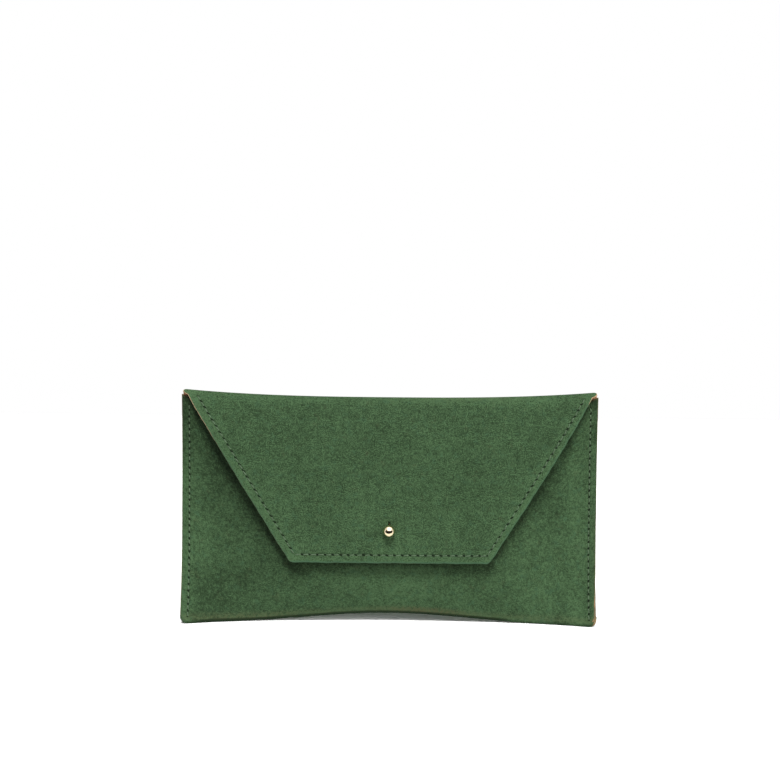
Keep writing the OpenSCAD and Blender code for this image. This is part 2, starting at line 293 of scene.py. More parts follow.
class Form:
    """The surfaces of the card holder, as functions of x and z in metres.
    Depth is measured forward from the back."""

    def __init__(self, settings):
        b, f, k = settings.body, settings.flap, settings.stud
        self.body, self.flap, self.stud, self.stitch = b, f, k, settings.stitch
        self.half = b.width / 2
        self.stack = b.suede + b.lining + 2 * b.glue
        self.bottom_r = (self.stack + b.suede) / 2
        self.fold_r = (self.stack + 2 * b.suede + f.room + b.lining + b.glue) / 2
        self.fold_front = 2 * self.fold_r - b.suede / 2
        self.flap_low = b.height - f.drop
        self.stud_z = self.flap_low + k.rise
        self.belly_z = self.stud_z + b.belly
        self.belly_rise = b.belly_rise * b.height
        self.seat = self.stack + b.bulge + b.suede
        self.flap_deep = self.seat + k.flange_thick + f.room + b.lining + b.glue + b.suede / 2
        self.neck_h = f.room + b.lining + b.glue + b.suede + k.neck_spare
        self.ball_h = k.flange_thick + self.neck_h + math.sqrt((k.ball / 2) ** 2 - (k.neck / 2) ** 2)
        self.back_y = (self.seat + self.ball_h + k.ball / 2) / 2
        self.arch_half = b.arch_share * b.width
        self.swell_half = self.half - b.seam_flat
        way = b.curl_reach / math.sqrt(2)
        self.curl_r = (way**2 + b.corner_curl**2) / (2 * b.corner_curl)
        self.curl_narrow = (self.curl_r * math.asin(way / self.curl_r) - way) / math.sqrt(2)
        self.flap_top_half = self.half - f.shoulder
        self.fall = f.fall

    def share(self, x):
        """How far points lie from the middle, as a share of the half width."""
        return unit(np.abs(x) / self.half)

    def fold_z(self, x):
        """Height of the top fold's axis."""
        return self.body.height - self.fold_r - self.body.top_dip * (1 - self.share(x) ** DIP_POWER)

    def half_w(self, z):
        """Half width of the body at a height."""
        b = self.body
        pinch = b.side_pinch * np.sin(np.pi * unit(z / b.height))
        taper = (1 - unit(z / b.curl_reach)) ** TAPER_POWER
        return self.half - pinch - (self.curl_narrow + b.foot_taper) * taper

    def hem_z(self, x):
        """Height of the underside of the bottom fold."""
        b = self.body
        lift = b.bottom_arch * (1 + np.cos(np.pi * x / self.arch_half)) / 2
        arch = np.where(np.abs(x) < self.arch_half, lift, 0)
        inward = np.clip(np.abs(x) - self.half_w(self.bottom_r) + b.corner_r, 0, b.corner_r)
        return arch + b.corner_r - np.sqrt(b.corner_r**2 - inward**2)

    def mouth_z(self, x):
        """Height of the front panel's lip."""
        b = self.body
        return b.height - b.mouth_side - (b.mouth_drop - b.mouth_side) * (1 - self.share(x) ** MOUTH_POWER)

    def curl_p(self, x, z):
        """How far points lie past the line where their lower corner starts to curl."""
        return np.maximum(0, (np.abs(x) - self.half + self.body.curl_reach - z) / math.sqrt(2))

    def y_at(self, deep, x, z):
        """Place along Y of points at a depth, with the curl of the corners."""
        return self.back_y - self.curl_r + np.sqrt((self.curl_r - deep) ** 2 - self.curl_p(x, z) ** 2)

    def body_normal(self, deep, x, z):
        """Direction towards the front of a layer of the body, beside the seams."""
        p = self.curl_p(x, z)
        q = np.sqrt((self.curl_r - deep) ** 2 - p**2)
        n = np.stack([-np.sign(x) * p / math.sqrt(2), -q, p / math.sqrt(2)], -1)
        return n / np.linalg.norm(n, axis=-1, keepdims=True)

    def swell(self, x, z):
        """How far the front panel stands out."""
        inside = unit((self.swell_half - np.abs(x)) / (self.swell_half - self.body.flat_half))
        across = 1 - (1 - inside) ** ACROSS_POWER
        low = 1 - (1 - unit((z - self.hem_z(x) - self.bottom_r) / self.belly_rise)) ** RISE_POWER
        top = 1 - TOP_LOSS * unit((z - self.belly_z) / (self.body.height - self.belly_z)) ** 2
        return self.body.bulge * across * np.minimum(low, top)

    def flap_goal(self, x):
        """Depth of the flap at its fullest line."""
        return mix(self.fold_front, self.flap_deep, 1 - self.flap.fade * self.share(x) ** 2)

    def fold_at(self, x, r, a):
        """Depth and height of points of the top fold, at a radius and an angle."""
        return self.fold_r - r * np.cos(a), self.fold_z(x) + r * np.sin(a)

    def fold_turn(self, x):
        """Angle through which the top fold turns before the flap leaves it."""
        r = self.fold_r - self.body.suede / 2

        def aim(d, z):
            return np.pi - np.arctan(self.fall * (self.flap_goal(x) - d) / (z - self.belly_z))

        return aim(*self.fold_at(x, r, aim(self.fold_front, self.fold_z(x))))

    def flap_start(self, x):
        """Depth and height where the flap leaves the fold."""
        return self.fold_at(x, self.fold_r - self.body.suede / 2, self.fold_turn(x))

    def flap_at(self, x, z, off):
        """Points of the flap and their outward directions, off metres in front of the middle of its suede."""
        d0, z0 = self.flap_start(x)
        climb = self.flap_goal(x) - d0
        t = unit((z0 - z) / (z0 - self.belly_z))
        d = d0 + climb * (1 - (1 - t) ** self.fall)
        m = self.fall * climb * (1 - t) ** (self.fall - 1) / (z0 - self.belly_z)
        k = 1 / np.sqrt(1 + m * m)
        normal = np.stack([np.zeros_like(d), -k, k * m], -1)
        return np.stack([x, self.back_y - d, z], -1) + normal * np.asarray(off)[..., None], normal

    def flap_half(self, v):
        """Half width of the flap, at a share of its length."""
        return mix(self.flap_top_half, self.flap.bottom_width / 2, v)

    def left_in(self, v):
        """How far the flap's left edge is cut in, at a share of its length."""
        return self.flap.left_in * rise(v, 0.0, 0.35) * (1 - 0.3 * rise(v, 0.7, 0.3))

    def waves(self, x, z, seed):
        """Soft waves of the leather, from -1 to 1."""
        rng = np.random.default_rng(seed)
        total = np.zeros_like(x)
        for size in WAVE_SIZES:
            heading, phase = rng.uniform(0, np.pi), rng.uniform(0, 2 * np.pi)
            total += np.sin((x * math.cos(heading) + z * math.sin(heading)) * 2 * np.pi / size + phase)
        return total / WAVE_PEAK

    def beside_flap(self, x, z):
        """How far points lie outside the slanted edges of the flap, and how far below its bottom edge."""
        high = self.body.height - self.fold_r
        v = unit((high - z) / (high - self.flap_low))
        return np.abs(x) - self.flap_half(v) + np.where(x < 0, self.left_in(v), 0.0), self.flap_low - z

    def front_shade_and_light(self, x, z):
        """Painted shade and light on the front panel's nap: over nothing where it is painted darker, under
        nothing where it is painted paler.
        """
        out, under = self.beside_flap(x, z)
        left = x < 0
        wider = np.where(left, *EDGE_SHADE_WIDER) * rise(z, self.flap_low, 0.016) * fall(z, 0.064, 0.036)
        # Painted shade beside the flap's slanted edges
        beside = np.where(left, *FLAP_EDGE_SHADE) * fall(out, 0.0, EDGE_SHADE_WIDTH + wider)
        beside += EDGE_SHADE_AROUND * fall(out, 0.0, 0.026)
        # Painted shadow below the flap's bottom edge
        below = fall(under, 0.0, mix(0.003, 0.0085, rise(np.abs(x - 0.004), 0.012, 0.03)))
        covered = 1 - EDGE_SHADE_LOST * rise(-out, 0.0, 0.006)
        lay = beside * below * rise(np.maximum(out, under), -0.006, 0.004) * covered
        # Painted shade at the feet and along the margins, painted light on the strip beside the right row
        lay += FOOT_LEFT * rise(x, -0.0865, 0.006) * fall(x, -0.079, 0.045) * fall(z, 0.014, 0.018)
        lay += FOOT_RIGHT * hump(x, 0.0745, 0.005) * fall(z, 0.009, 0.008)
        lay += STRIP_RIGHT * hump(x, 0.0805, 0.005)
        margin = fall(self.half - np.abs(x), 0.0, MARGIN_WIDTH)
        lay += MARGIN_TOP * margin * rise(z, np.where(left, 0.056, 0.072), 0.012)
        lay += MARGIN_RIGHT * margin * np.where(left, 0.0, 1.0) * fall(z, 0.045, 0.020)
        # Patches painted darker or paler, partly painted shade
        for x0, z0, half_x, half_z, darkening in TONE_PATCHES:
            lay += darkening * hump(x, x0, half_x) * hump(z, z0, half_z)
        return lay

    def flap_shade_and_light(self, x, z):
        """Painted shade and light on the flap's nap: painted shade towards the fold, paler along its edges, a
        painted highlight at the crest of the fold, and darker at one upper corner.
        """
        out, under = self.beside_flap(x, z)
        # Painted shade that grows towards the fold
        shade = FLAP_SHADE * rise(z, self.flap_low, 0.060)
        rim = np.maximum(fall(-out, 0.0, 0.0095), RIM_LOW * fall(-under, 0.0, 0.006))
        corner = FLAP_CORNER * rise(x, 0.066, 0.012) * rise(z, 0.088, 0.006)
        # Painted highlight where the fold's crest faces the light
        crest = rise(z, self.body.height - 0.009, 0.006)
        return shade - FLAP_RIM * rim - FLAP_CREST * crest + corner

    def uneven(self, s, seed):
        """Small departures of a cut edge from its line, along a way s."""
        rng = np.random.default_rng(seed)
        total = np.zeros_like(s)
        for size in EDGE_SIZES:
            total += np.sin(s * 2 * np.pi / size + rng.uniform(0, 2 * np.pi))
        return total / len(EDGE_SIZES) * self.flap.uneven

    def calm(self, x, z):
        """Nothing round the stud, one elsewhere."""
        return rise(np.hypot(x, z - self.stud_z), 0.006, 0.012)


# Rows of points along each part of the sheets
SHELL_HEM_ROWS, BACK_ROWS, FOLD_ROWS, FLAP_ROWS, TIP_ROWS = 6, 90, 16, 65, 12
FRONT_HEM_ROWS, FRONT_ROWS = 8, 100
FACING_ROWS, FACING_TIP_ROWS = 59, 12
DIVIDER_ROWS = 45
# Length of the flap's tip that has close rows
TIP = 0.005
# Shares of the flap's length where the facing begins and where its close rows begin
FACING_FROM, FACING_TIP = 0.02, 0.94
# How much shorter the divider is at each side than the body
DIVIDER_SHORT = 0.0003
# How much of a true quarter round the flap's bottom corners take
CORNER_CUT = 0.75
# Places of the close points at the edges of a row, and where the even points begin
INNER_FROM = 0.0082
EDGE_STEPS = np.array([0.0, 0.5, 1.1, 1.8, 2.5, 3.2, 4.0, 5.0, 6.4]) * 1e-3


def columns(half, inner=84):
    """Places across a row, close together near both edges."""
    middle = np.linspace(-1.0, 1.0, inner + 1) * (half - INNER_FROM)
    return np.concatenate([-half + EDGE_STEPS, middle, (half - EDGE_STEPS)[::-1]])


def hem_rows(form, angles):
    """Rows of the bottom fold's middle layer."""
    x = columns(form.half_w(form.bottom_r))
    r, corner = form.bottom_r - form.body.suede / 2, form.body.corner_r
    inward = np.sign(x) * form.body.suede / 2 * rise(np.abs(x) - x[-1], -corner, corner)
    rows = []
    for a in angles:
        z = form.hem_z(x) + form.bottom_r + r * math.sin(a)
        place = x + inward * math.sin(a)
        rows.append(np.stack([place, form.y_at(form.bottom_r + r * math.cos(a), x, z), z], -1))
    return rows


def flap_row(form, v, off):
    """One row across the flap, at a share v of its length, off metres in front of the middle of its suede."""
    f, drop = form.flap, form.body.height - form.flap_low
    cut = max(0.0, f.corner - (1 - v) * drop)
    half = form.flap_half(v) - CORNER_CUT * (f.corner - math.sqrt(f.corner**2 - cut**2))
    x = columns(half)
    way = np.array(v * drop)
    left = form.uneven(way, LEFT_SEED) * rise(v, 0.0, 0.1) - form.left_in(v)
    right = form.uneven(way, RIGHT_SEED) * rise(v, 0.0, 0.1)
    x = x * (1 + np.where(x < 0, left, right) / half)
    low = form.flap_low + form.uneven(x, BOTTOM_SEED) * rise(v, 0.8, 0.2)
    z = mix(form.flap_start(x)[1], low, v)
    wave = form.waves(x, z, FLAP_SEED) * form.calm(x, z) * rise(v, 0.12, 0.25) * form.body.ripple
    return form.flap_at(x, z, wave + off)[0]


def lower_right(form, rows, start, span):
    """One at the right edge of a grid near the foot, nothing elsewhere."""
    x, z = rows[..., 0], rows[..., 2]
    reach = form.body.edge_reach
    return rise(x - x[:, -1:], -reach, reach) * fall(z, start, span)


def shell_grid(form):
    """Middle layer of the back panel, the top fold and the flap, as one sheet, and the part of each row."""
    b = form.body
    rows = hem_rows(form, np.radians(np.linspace(270, 180, SHELL_HEM_ROWS + 1)[:-1]))
    kinds = ["hem"] * len(rows)
    x0, x1 = columns(form.half_w(form.bottom_r)), columns(form.half)
    for v in np.linspace(0, 1, BACK_ROWS + 1)[:-1]:
        x = columns(form.half_w(mix(form.bottom_r, b.height - form.fold_r, v)))
        x = mix(x, x1, rise(v, 0.9, 0.1))
        z = mix(form.hem_z(x0) + form.bottom_r, form.fold_z(x1), v)
        still = rise(v, 0.0, 0.15) * fall(v, 0.85, 0.15) * rise(form.half - np.abs(x), 0.0, 0.02)
        wave = form.waves(x, z, BACK_SEED) * still
        rows.append(np.stack([x, form.y_at(b.suede / 2 + 0.5 * b.ripple * (wave + 1), x, z), z], -1))
        kinds.append("back")
    for t in np.linspace(0, 1, FOLD_ROWS + 1)[:-1]:
        end = form.half - form.flap.tuck * (1 - abs(math.cos(math.pi * t)))
        x = columns(mix(end, form.flap_top_half, t**8))
        d, z = form.fold_at(x, form.fold_r - b.suede / 2, form.fold_turn(x) * t)
        rows.append(np.stack([x, form.back_y - d, z], -1))
        kinds.append("fold")
    drop = form.body.height - form.flap_low
    close = 1 - np.linspace(TIP, 0, TIP_ROWS + 1) / drop
    for v in np.concatenate([np.linspace(0, 1 - TIP / drop, FLAP_ROWS + 1)[:-1], close]):
        rows.append(flap_row(form, v, 0.0))
        kinds.append("flap")
    rows, kinds = np.array(rows), np.array(kinds)
    outside = (kinds == "hem") | (kinds == "back")
    rows[outside, :, 0] += b.flare * lower_right(form, rows[outside], 0.012, 0.016)
    return rows, kinds


def front_grid(form):
    """Middle layer of the front panel with the front half of the bottom fold."""
    b = form.body
    rows = hem_rows(form, np.radians(np.linspace(270, 360, FRONT_HEM_ROWS + 1)[:-1]))
    high = b.height - b.mouth_side
    x0, x1 = columns(form.half_w(form.bottom_r)), columns(form.half_w(high))
    for v in np.linspace(0, 1, FRONT_ROWS + 1):
        x = columns(form.half_w(mix(form.bottom_r, high, v)))
        z = mix(form.hem_z(x0) + form.bottom_r, form.mouth_z(x1), v)
        swell = form.swell(x, z)
        still = unit(swell / (0.5 * b.bulge)) * form.calm(x, z) * rise(v, 0.0, 0.25) * fall(v, 0.6, 0.25)
        deep = form.stack + b.suede / 2 + swell + form.waves(x, z, FRONT_SEED) * still * b.ripple
        rows.append(np.stack([x, form.y_at(deep, x, z), z], -1))
    rows = np.array(rows)
    rows[..., 0] -= b.step * lower_right(form, rows, 0.006, 0.018)
    return rows


def facing_grid(form):
    """Middle layer of the flap's facing."""
    b = form.body
    off = -b.suede / 2 - b.glue - b.lining / 2
    far = np.linspace(FACING_FROM, FACING_TIP, FACING_ROWS + 1)[:-1]
    close = np.linspace(FACING_TIP, 1, FACING_TIP_ROWS + 1)
    return np.array([flap_row(form, v, off) for v in np.concatenate([far, close])])


def divider_grid(form):
    """Middle layer of the card divider."""
    b = form.body
    rows = []
    deep = b.suede + b.glue + b.lining / 2
    for z in np.linspace(b.divider_low, b.divider_top, DIVIDER_ROWS + 1):
        x = columns(form.half_w(z) - DIVIDER_SHORT)
        level = np.full_like(x, z)
        rows.append(np.stack([x, form.y_at(deep, x, level), level], -1))
    return np.array(rows)


# Stitches or millimetres that lie far from every row
FAR = 9.0
# Points along a row before it is cut into stitches
ROW_POINTS = 300
# Start of a side row above the bottom fold, its end below the top corners, and the flap's row below its start
SEAM_START, SEAM_END, FLAP_ROW_END = 0.0010, 0.0065, 0.0004
MILLIMETRES = 1000.0


class Row:
    """One straight row of stitches, given by fine points from its start to its end."""

    def __init__(self, points, normals, pitch):
        self.points, self.normals = points, normals
        steps = np.linalg.norm(np.diff(points, axis=0), axis=1)
        self.way = np.concatenate([[0.0], np.cumsum(steps)])
        self.count = max(1, round(self.way[-1] / pitch))
        self.pitch = self.way[-1] / self.count

    def along(self, key, values):
        """Stitches passed at a value of one coordinate that grows along the row."""
        return np.interp(values, self.points[:, key], self.way / self.pitch, -FAR, -FAR)

    def centres(self):
        """Line through the middles of the stitches, with the leather's direction at each point."""
        s = np.linspace(0.5, self.count - 0.5, 4 * self.count - 3) * self.pitch
        pick = [np.interp(s, self.way, self.points[:, i]) for i in range(3)]
        face = [np.interp(s, self.way, self.normals[:, i]) for i in range(3)]
        return np.stack(pick, -1), np.stack(face, -1)


def seam_row(form, side, front):
    """Stitches of one side seam, on the front or on the back."""
    b = form.body
    z = np.linspace(form.bottom_r + SEAM_START, b.height - SEAM_END, ROW_POINTS)
    x = side * (form.half_w(z) - form.stitch.seam_inset)
    deep = form.stack + b.suede if front else 0.0
    points = np.stack([x, form.y_at(deep, x, z), z], -1)
    normal = form.body_normal(deep, x, z)
    return Row(points, normal if front else -normal, form.stitch.seam_pitch)


def flap_rows(form, front):
    """Left, right and bottom stitches of the flap, on the suede or on the facing."""
    b, stitch = form.body, form.stitch
    high = form.flap_start(form.flap_top_half)[1]
    slope = math.atan((form.flap_top_half - form.flap.bottom_width / 2) / (high - form.flap_low))
    off = b.suede / 2 if front else -b.suede / 2 - b.glue - b.lining
    sign = 1 if front else -1
    w = np.linspace(0, 1, ROW_POINTS)
    z = mix(form.flap_low + stitch.flap_inset, high - FLAP_ROW_END, w)
    v = (high - z) / (high - form.flap_low)
    left = form.left_in(v) - form.flap_half(v) + stitch.flap_inset / math.cos(slope)
    right = form.flap_half(v) - stitch.right_inset / math.cos(slope)
    rows = []
    for x, height in ((left, z), (right, z), (mix(left[0], right[0], w), np.full_like(w, z[0]))):
        points, normals = form.flap_at(x, height, off)
        rows.append(Row(points, sign * normals, stitch.flap_pitch))
    return rows, slope


def seam_marks(form, points, front):
    """Place of points of the body in the stitch rows: stitches along, and millimetres from the row."""
    x, z = points[..., 0], points[..., 2]
    row = seam_row(form, 1, front)
    beyond = (np.abs(x) - form.half_w(z) + form.stitch.seam_inset) * MILLIMETRES
    return np.stack([row.along(2, z), beyond], -1)


def flap_marks(form, points, front):
    """Place of the corners of the flap's faces in the stitch rows; each face keeps to its nearest row."""
    (left, right, bottom), slope = flap_rows(form, front)
    x, z = points[..., 0], points[..., 2]
    ends = [np.interp(z, row.points[:, 2], np.abs(row.points[:, 0])) for row in (left, right)]
    beyond = (np.abs(x) - np.where(x < 0, *ends)) * math.cos(slope) * MILLIMETRES
    below = (bottom.points[0, 2] - z) * MILLIMETRES
    slanted = np.stack([right.along(2, z), beyond], -1)
    level = np.stack([bottom.along(0, x), below], -1)
    nearest = np.abs(beyond.mean(-1)) < np.abs(below.mean(-1))
    return np.where(nearest[:, None, None], slanted, level)


# Share of an edge's bareness or painted shade that reaches the faces beside it
EDGE_SHARE = 0.25
# Units of the flat map in a metre
FLAT_UNITS = 10.0


def link_object(name, data):
    """A new object in the scene."""
    obj = bpy.data.objects.new(name, data)
    bpy.context.scene.collection.objects.link(obj)
    return obj


def sheet_solid(mid, thick, out, rounds):
    """Points and faces of a closed sheet round a grid of middle points.
    Also gives the material of each face, the faces of its good side and the points round its edge."""
    count_r, count_c = mid.shape[:2]
    across, down = np.gradient(mid, axis=1), np.gradient(mid, axis=0)
    normal = np.cross(across, down) * out
    normal /= np.linalg.norm(normal, axis=-1, keepdims=True)
    index = np.arange(count_r * count_c).reshape(count_r, count_c)
    loop = np.concatenate([index[0, :-1], index[:-1, -1], index[-1, :0:-1], index[:0:-1, 0]])

    def away(v):
        return v / np.linalg.norm(v, axis=-1, keepdims=True)

    edge = np.zeros_like(mid)
    edge[0] -= away(mid[1] - mid[0])
    edge[-1] += away(mid[-1] - mid[-2])
    edge[:, 0] += away(mid[:, 0] - mid[:, 1])
    edge[:, -1] += away(mid[:, -1] - mid[:, -2])
    radius = np.full((count_r, count_c), rounds[2])
    radius[0], radius[-1] = rounds[0], rounds[1]
    edge, radius = edge.reshape(-1, 3)[loop], radius.reshape(-1)[loop][:, None]
    n, m = normal.reshape(-1, 3)[loop], mid.reshape(-1, 3)[loop]
    edge -= n * (edge * n).sum(-1, keepdims=True)
    edge = away(edge)
    half, corner = thick / 2, 1 - math.sqrt(0.5)
    faces_out, faces_in = mid + normal * half, mid - normal * half
    faces_out.reshape(-1, 3)[loop] -= edge * radius
    faces_in.reshape(-1, 3)[loop] -= edge * radius
    rings = [
        m + n * (half - radius * corner) - edge * radius * corner,
        m + n * (half - radius),
        m - n * (half - radius),
        m - n * (half - radius * corner) - edge * radius * corner,
    ]
    total = count_r * count_c
    points = np.concatenate([faces_out.reshape(-1, 3), faces_in.reshape(-1, 3)] + rings)
    quads = np.stack([index[:-1, :-1], index[:-1, 1:], index[1:, 1:], index[1:, :-1]], -1).reshape(-1, 4)
    if out < 0:
        quads = quads[:, ::-1]
    lines = [loop] + [2 * total + len(loop) * i + np.arange(len(loop)) for i in range(4)] + [loop + total]
    rim = []
    for a, c in zip(lines[:-1], lines[1:]):
        rim.append(np.stack([a, c, np.roll(c, -1), np.roll(a, -1)], -1))
    rim = np.concatenate(rim)
    probe = 5
    p = points[rim[len(loop) * 2 + probe]]
    if np.dot(np.cross(p[1] - p[0], p[2] - p[0]), edge[probe]) < 0:
        rim = rim[:, ::-1]
    faces = np.concatenate([quads, quads[:, ::-1] + total, rim])
    kind = np.zeros(len(faces), int)
    kind[len(quads) : 2 * len(quads)] = 1
    kind[2 * len(quads) :] = np.repeat([0, 0, 2, 1, 1], len(loop))
    return points, faces, kind, quads, loop


def closed_sheet(name, mid, thick, out, rounds, materials, flat, raw=None, worn=None, lay=None, marks=None):
    """A closed sheet of leather round a grid of middle points.
    out is 1 or -1, for the side that is the good one. rounds gives the edge radius at the first row,
    the last row and the two sides. flat is the place of each point in the sheet laid flat.
    raw, worn and lay paint the leather, lay with painted shade and light, and a raw below nothing paints
    shade on it."""
    points, faces, kind, quads, loop = sheet_solid(mid, thick, out, rounds)
    mesh = bpy.data.meshes.new(name)
    mesh.vertices.add(len(points))
    mesh.vertices.foreach_set("co", points.ravel())
    mesh.loops.add(faces.size)
    mesh.loops.foreach_set("vertex_index", faces.ravel())
    mesh.polygons.add(len(faces))
    mesh.polygons.foreach_set("loop_start", np.arange(0, faces.size, 4))
    mesh.polygons.foreach_set("material_index", kind)
    mesh.polygons.foreach_set("use_smooth", np.ones(len(faces), bool))
    mesh.update(calc_edges=True)
    flat = flat.reshape(-1, 2)
    every = np.concatenate([flat, flat] + [flat[loop]] * 4)
    mesh.uv_layers.new(name="flat").data.foreach_set("uv", every[faces.ravel()].ravel())
    rows = np.full((len(faces), 4, 2), FAR)
    if marks is not None:
        rows[: len(quads)] = marks(points[quads], quads // mid.shape[1])
    mesh.uv_layers.new(name="row").data.foreach_set("uv", rows.ravel())
    for label, grid in (("raw", raw), ("worn", worn), ("lay", lay)):
        values = np.zeros(len(points))
        if grid is not None:
            grid = grid.reshape(-1)
            face = grid
            if label == "raw":
                face = EDGE_SHARE * np.minimum(grid, 0.0)
                face[loop] = EDGE_SHARE * grid[loop]
            values = np.concatenate([face, face] + [grid[loop]] * 4)
        mesh.attributes.new(label, "FLOAT", "POINT").data.foreach_set("value", values)
    for material in materials:
        mesh.materials.append(material)
    if mesh.validate():
        raise RuntimeError(f"{name}: the sheet's mesh has faults")
    return link_object(name, mesh)


def flat_places(mid, sign=1.0):
    """Place of each point in the sheet laid flat, in flat units."""
    steps = np.linalg.norm(np.diff(mid, axis=0), axis=-1).mean(-1)
    way = sign * np.concatenate([[0.0], np.cumsum(steps)])
    v = np.repeat(way[:, None], mid.shape[1], 1)
    return np.stack([mid[..., 0], v], -1) * FLAT_UNITS


def sheet_area(mid):
    """Area of a grid of middle points."""
    a = np.cross(mid[1:, 1:] - mid[:-1, :-1], mid[1:, :-1] - mid[:-1, 1:])
    return float(np.linalg.norm(a, axis=-1).sum() / 2)


def declare_sheet(mid):
    """Measures the area, width and length of a sheet's grid, and does nothing with them."""
    area = sheet_area(mid)
    wide = float(np.ptp(mid[..., 0]))
    tall = flat_places(mid)[-1, 0, 1] / FLAT_UNITS


class Wires:
    """Adds nodes to a tree and joins them up."""

    def __init__(self, tree):
        self.tree = tree

    def node(self, kind, inputs=None, **settings):
        made = self.tree.nodes.new(kind)
        for key, value in settings.items():
            setattr(made, key, value)
        for key, value in (inputs or {}).items():
            if isinstance(value, bpy.types.NodeSocket):
                self.tree.links.new(value, made.inputs[key])
            else:
                made.inputs[key].default_value = value
        return made

    def math(self, operation, a, b=0.0, c=0.0):
        return self.node("ShaderNodeMath", {0: a, 1: b, 2: c}, operation=operation).outputs[0]

    def mix(self, share, a, b):
        made = self.node("ShaderNodeMix", {0: share, 6: a, 7: b}, data_type="RGBA")
        return made.outputs[2]

    def noise(self, place, scale, detail=3.0, rough=0.6):
        inputs = {"Vector": place, "Scale": scale, "Detail": detail, "Roughness": rough}
        return self.node("ShaderNodeTexNoise", inputs).outputs[0]

    def ramp(self, value, low, high, start=0.0, end=1.0):
        inputs = {0: value, 1: low, 2: high, 3: start, 4: end}
        return self.node("ShaderNodeMapRange", inputs, interpolation_type="SMOOTHSTEP").outputs[0]

    def attribute(self, name):
        return self.node("ShaderNodeAttribute", attribute_name=name).outputs["Fac"]


def rgba(colour):
    """A colour with full cover."""
    return (*colour, 1.0)


def new_material(name):
    """An empty material with its surface shader and the helper for its nodes."""
    material = bpy.data.materials.new(name)
    material.use_nodes = True
    wires = Wires(material.node_tree)
    return material, material.node_tree.nodes["Principled BSDF"], wires


def set_surface(w, shader, colour, bump, roughness, specular):
    """Colour, relief and gloss of a leather or a thread."""
    w.tree.links.new(colour, shader.inputs["Base Color"])
    w.tree.links.new(bump.outputs[0], shader.inputs["Normal"])
    shader.inputs["Roughness"].default_value = roughness
    shader.inputs["Specular IOR Level"].default_value = specular


# Layers of the nap, from clouds to single fibres: noise scale, detail, roughness and strength
NAP_LAYERS = {
    "cloud": (4.5, 3.0, 0.55, 0.30),
    "blotch": (17.0, 3.0, 0.60, 0.38),
    "tuft": (38.0, 2.0, 0.55, 0.42),
    "grain": (84.0, 3.0, 0.62, 1.0),
    "fibre": (210.0, 4.0, 0.65, 2.4),
}
# How far the lay attribute darkens the nap; it carries painted shade and painted light as well as the nap's
# lay and wear
LAY_SHADE = -0.28
# Stitch holes: mean millimetres from one to the next, half sizes, and the cosine and sine of their lean
HOLE_PITCH = 3.0
HOLE_LONG, HOLE_WIDE = 0.58, 0.36
HOLE_COS, HOLE_SIN = 0.94, 0.34
# Colour of the painted shade in the stitch holes
HOLE_DARK = (0.006, 0.010, 0.005, 1.0)
# Stitches before the first of a row where its groove begins
ROW_FROM = -0.4
# Depth of the stitch groove and of the holes in the relief
GROOVE_DEEP, HOLE_DEEP = -1.2, -3.0
# How strong the painted shade of the groove and of the holes, and the cool and the warm flecks of the dye are
# in the colour
GROOVE_SHADE, HOLE_SHADE = 0.06, 0.86
COOL_SHARE, WARM_SHARE = 0.6, 0.16


def stitch_holes(w):
    """Where the holes of the stitches are, and the groove that their rows pull into the suede."""
    row = w.node("ShaderNodeSeparateXYZ", {0: w.node("ShaderNodeUVMap", uv_map="row").outputs[0]}).outputs
    along = w.math("MULTIPLY", w.math("WRAP", row[0], 0.5, -0.5), HOLE_PITCH)
    a = w.math("MULTIPLY_ADD", row[1], HOLE_SIN, w.math("MULTIPLY", along, HOLE_COS))
    b = w.math("MULTIPLY_ADD", along, -HOLE_SIN, w.math("MULTIPLY", row[1], HOLE_COS))
    a_squared = w.math("POWER", w.math("DIVIDE", a, HOLE_LONG), 2.0)
    b_squared = w.math("POWER", w.math("DIVIDE", b, HOLE_WIDE), 2.0)
    span = w.math("SQRT", w.math("ADD", a_squared, b_squared))
    inside = w.math("GREATER_THAN", row[0], ROW_FROM)
    hole = w.math("MULTIPLY", w.ramp(span, 0.7, 1.45, 1.0, 0.0), inside)
    groove = w.math("MULTIPLY", w.ramp(w.math("ABSOLUTE", row[1]), 0.0, 1.2, 1.0, 0.0), inside)
    return hole, groove


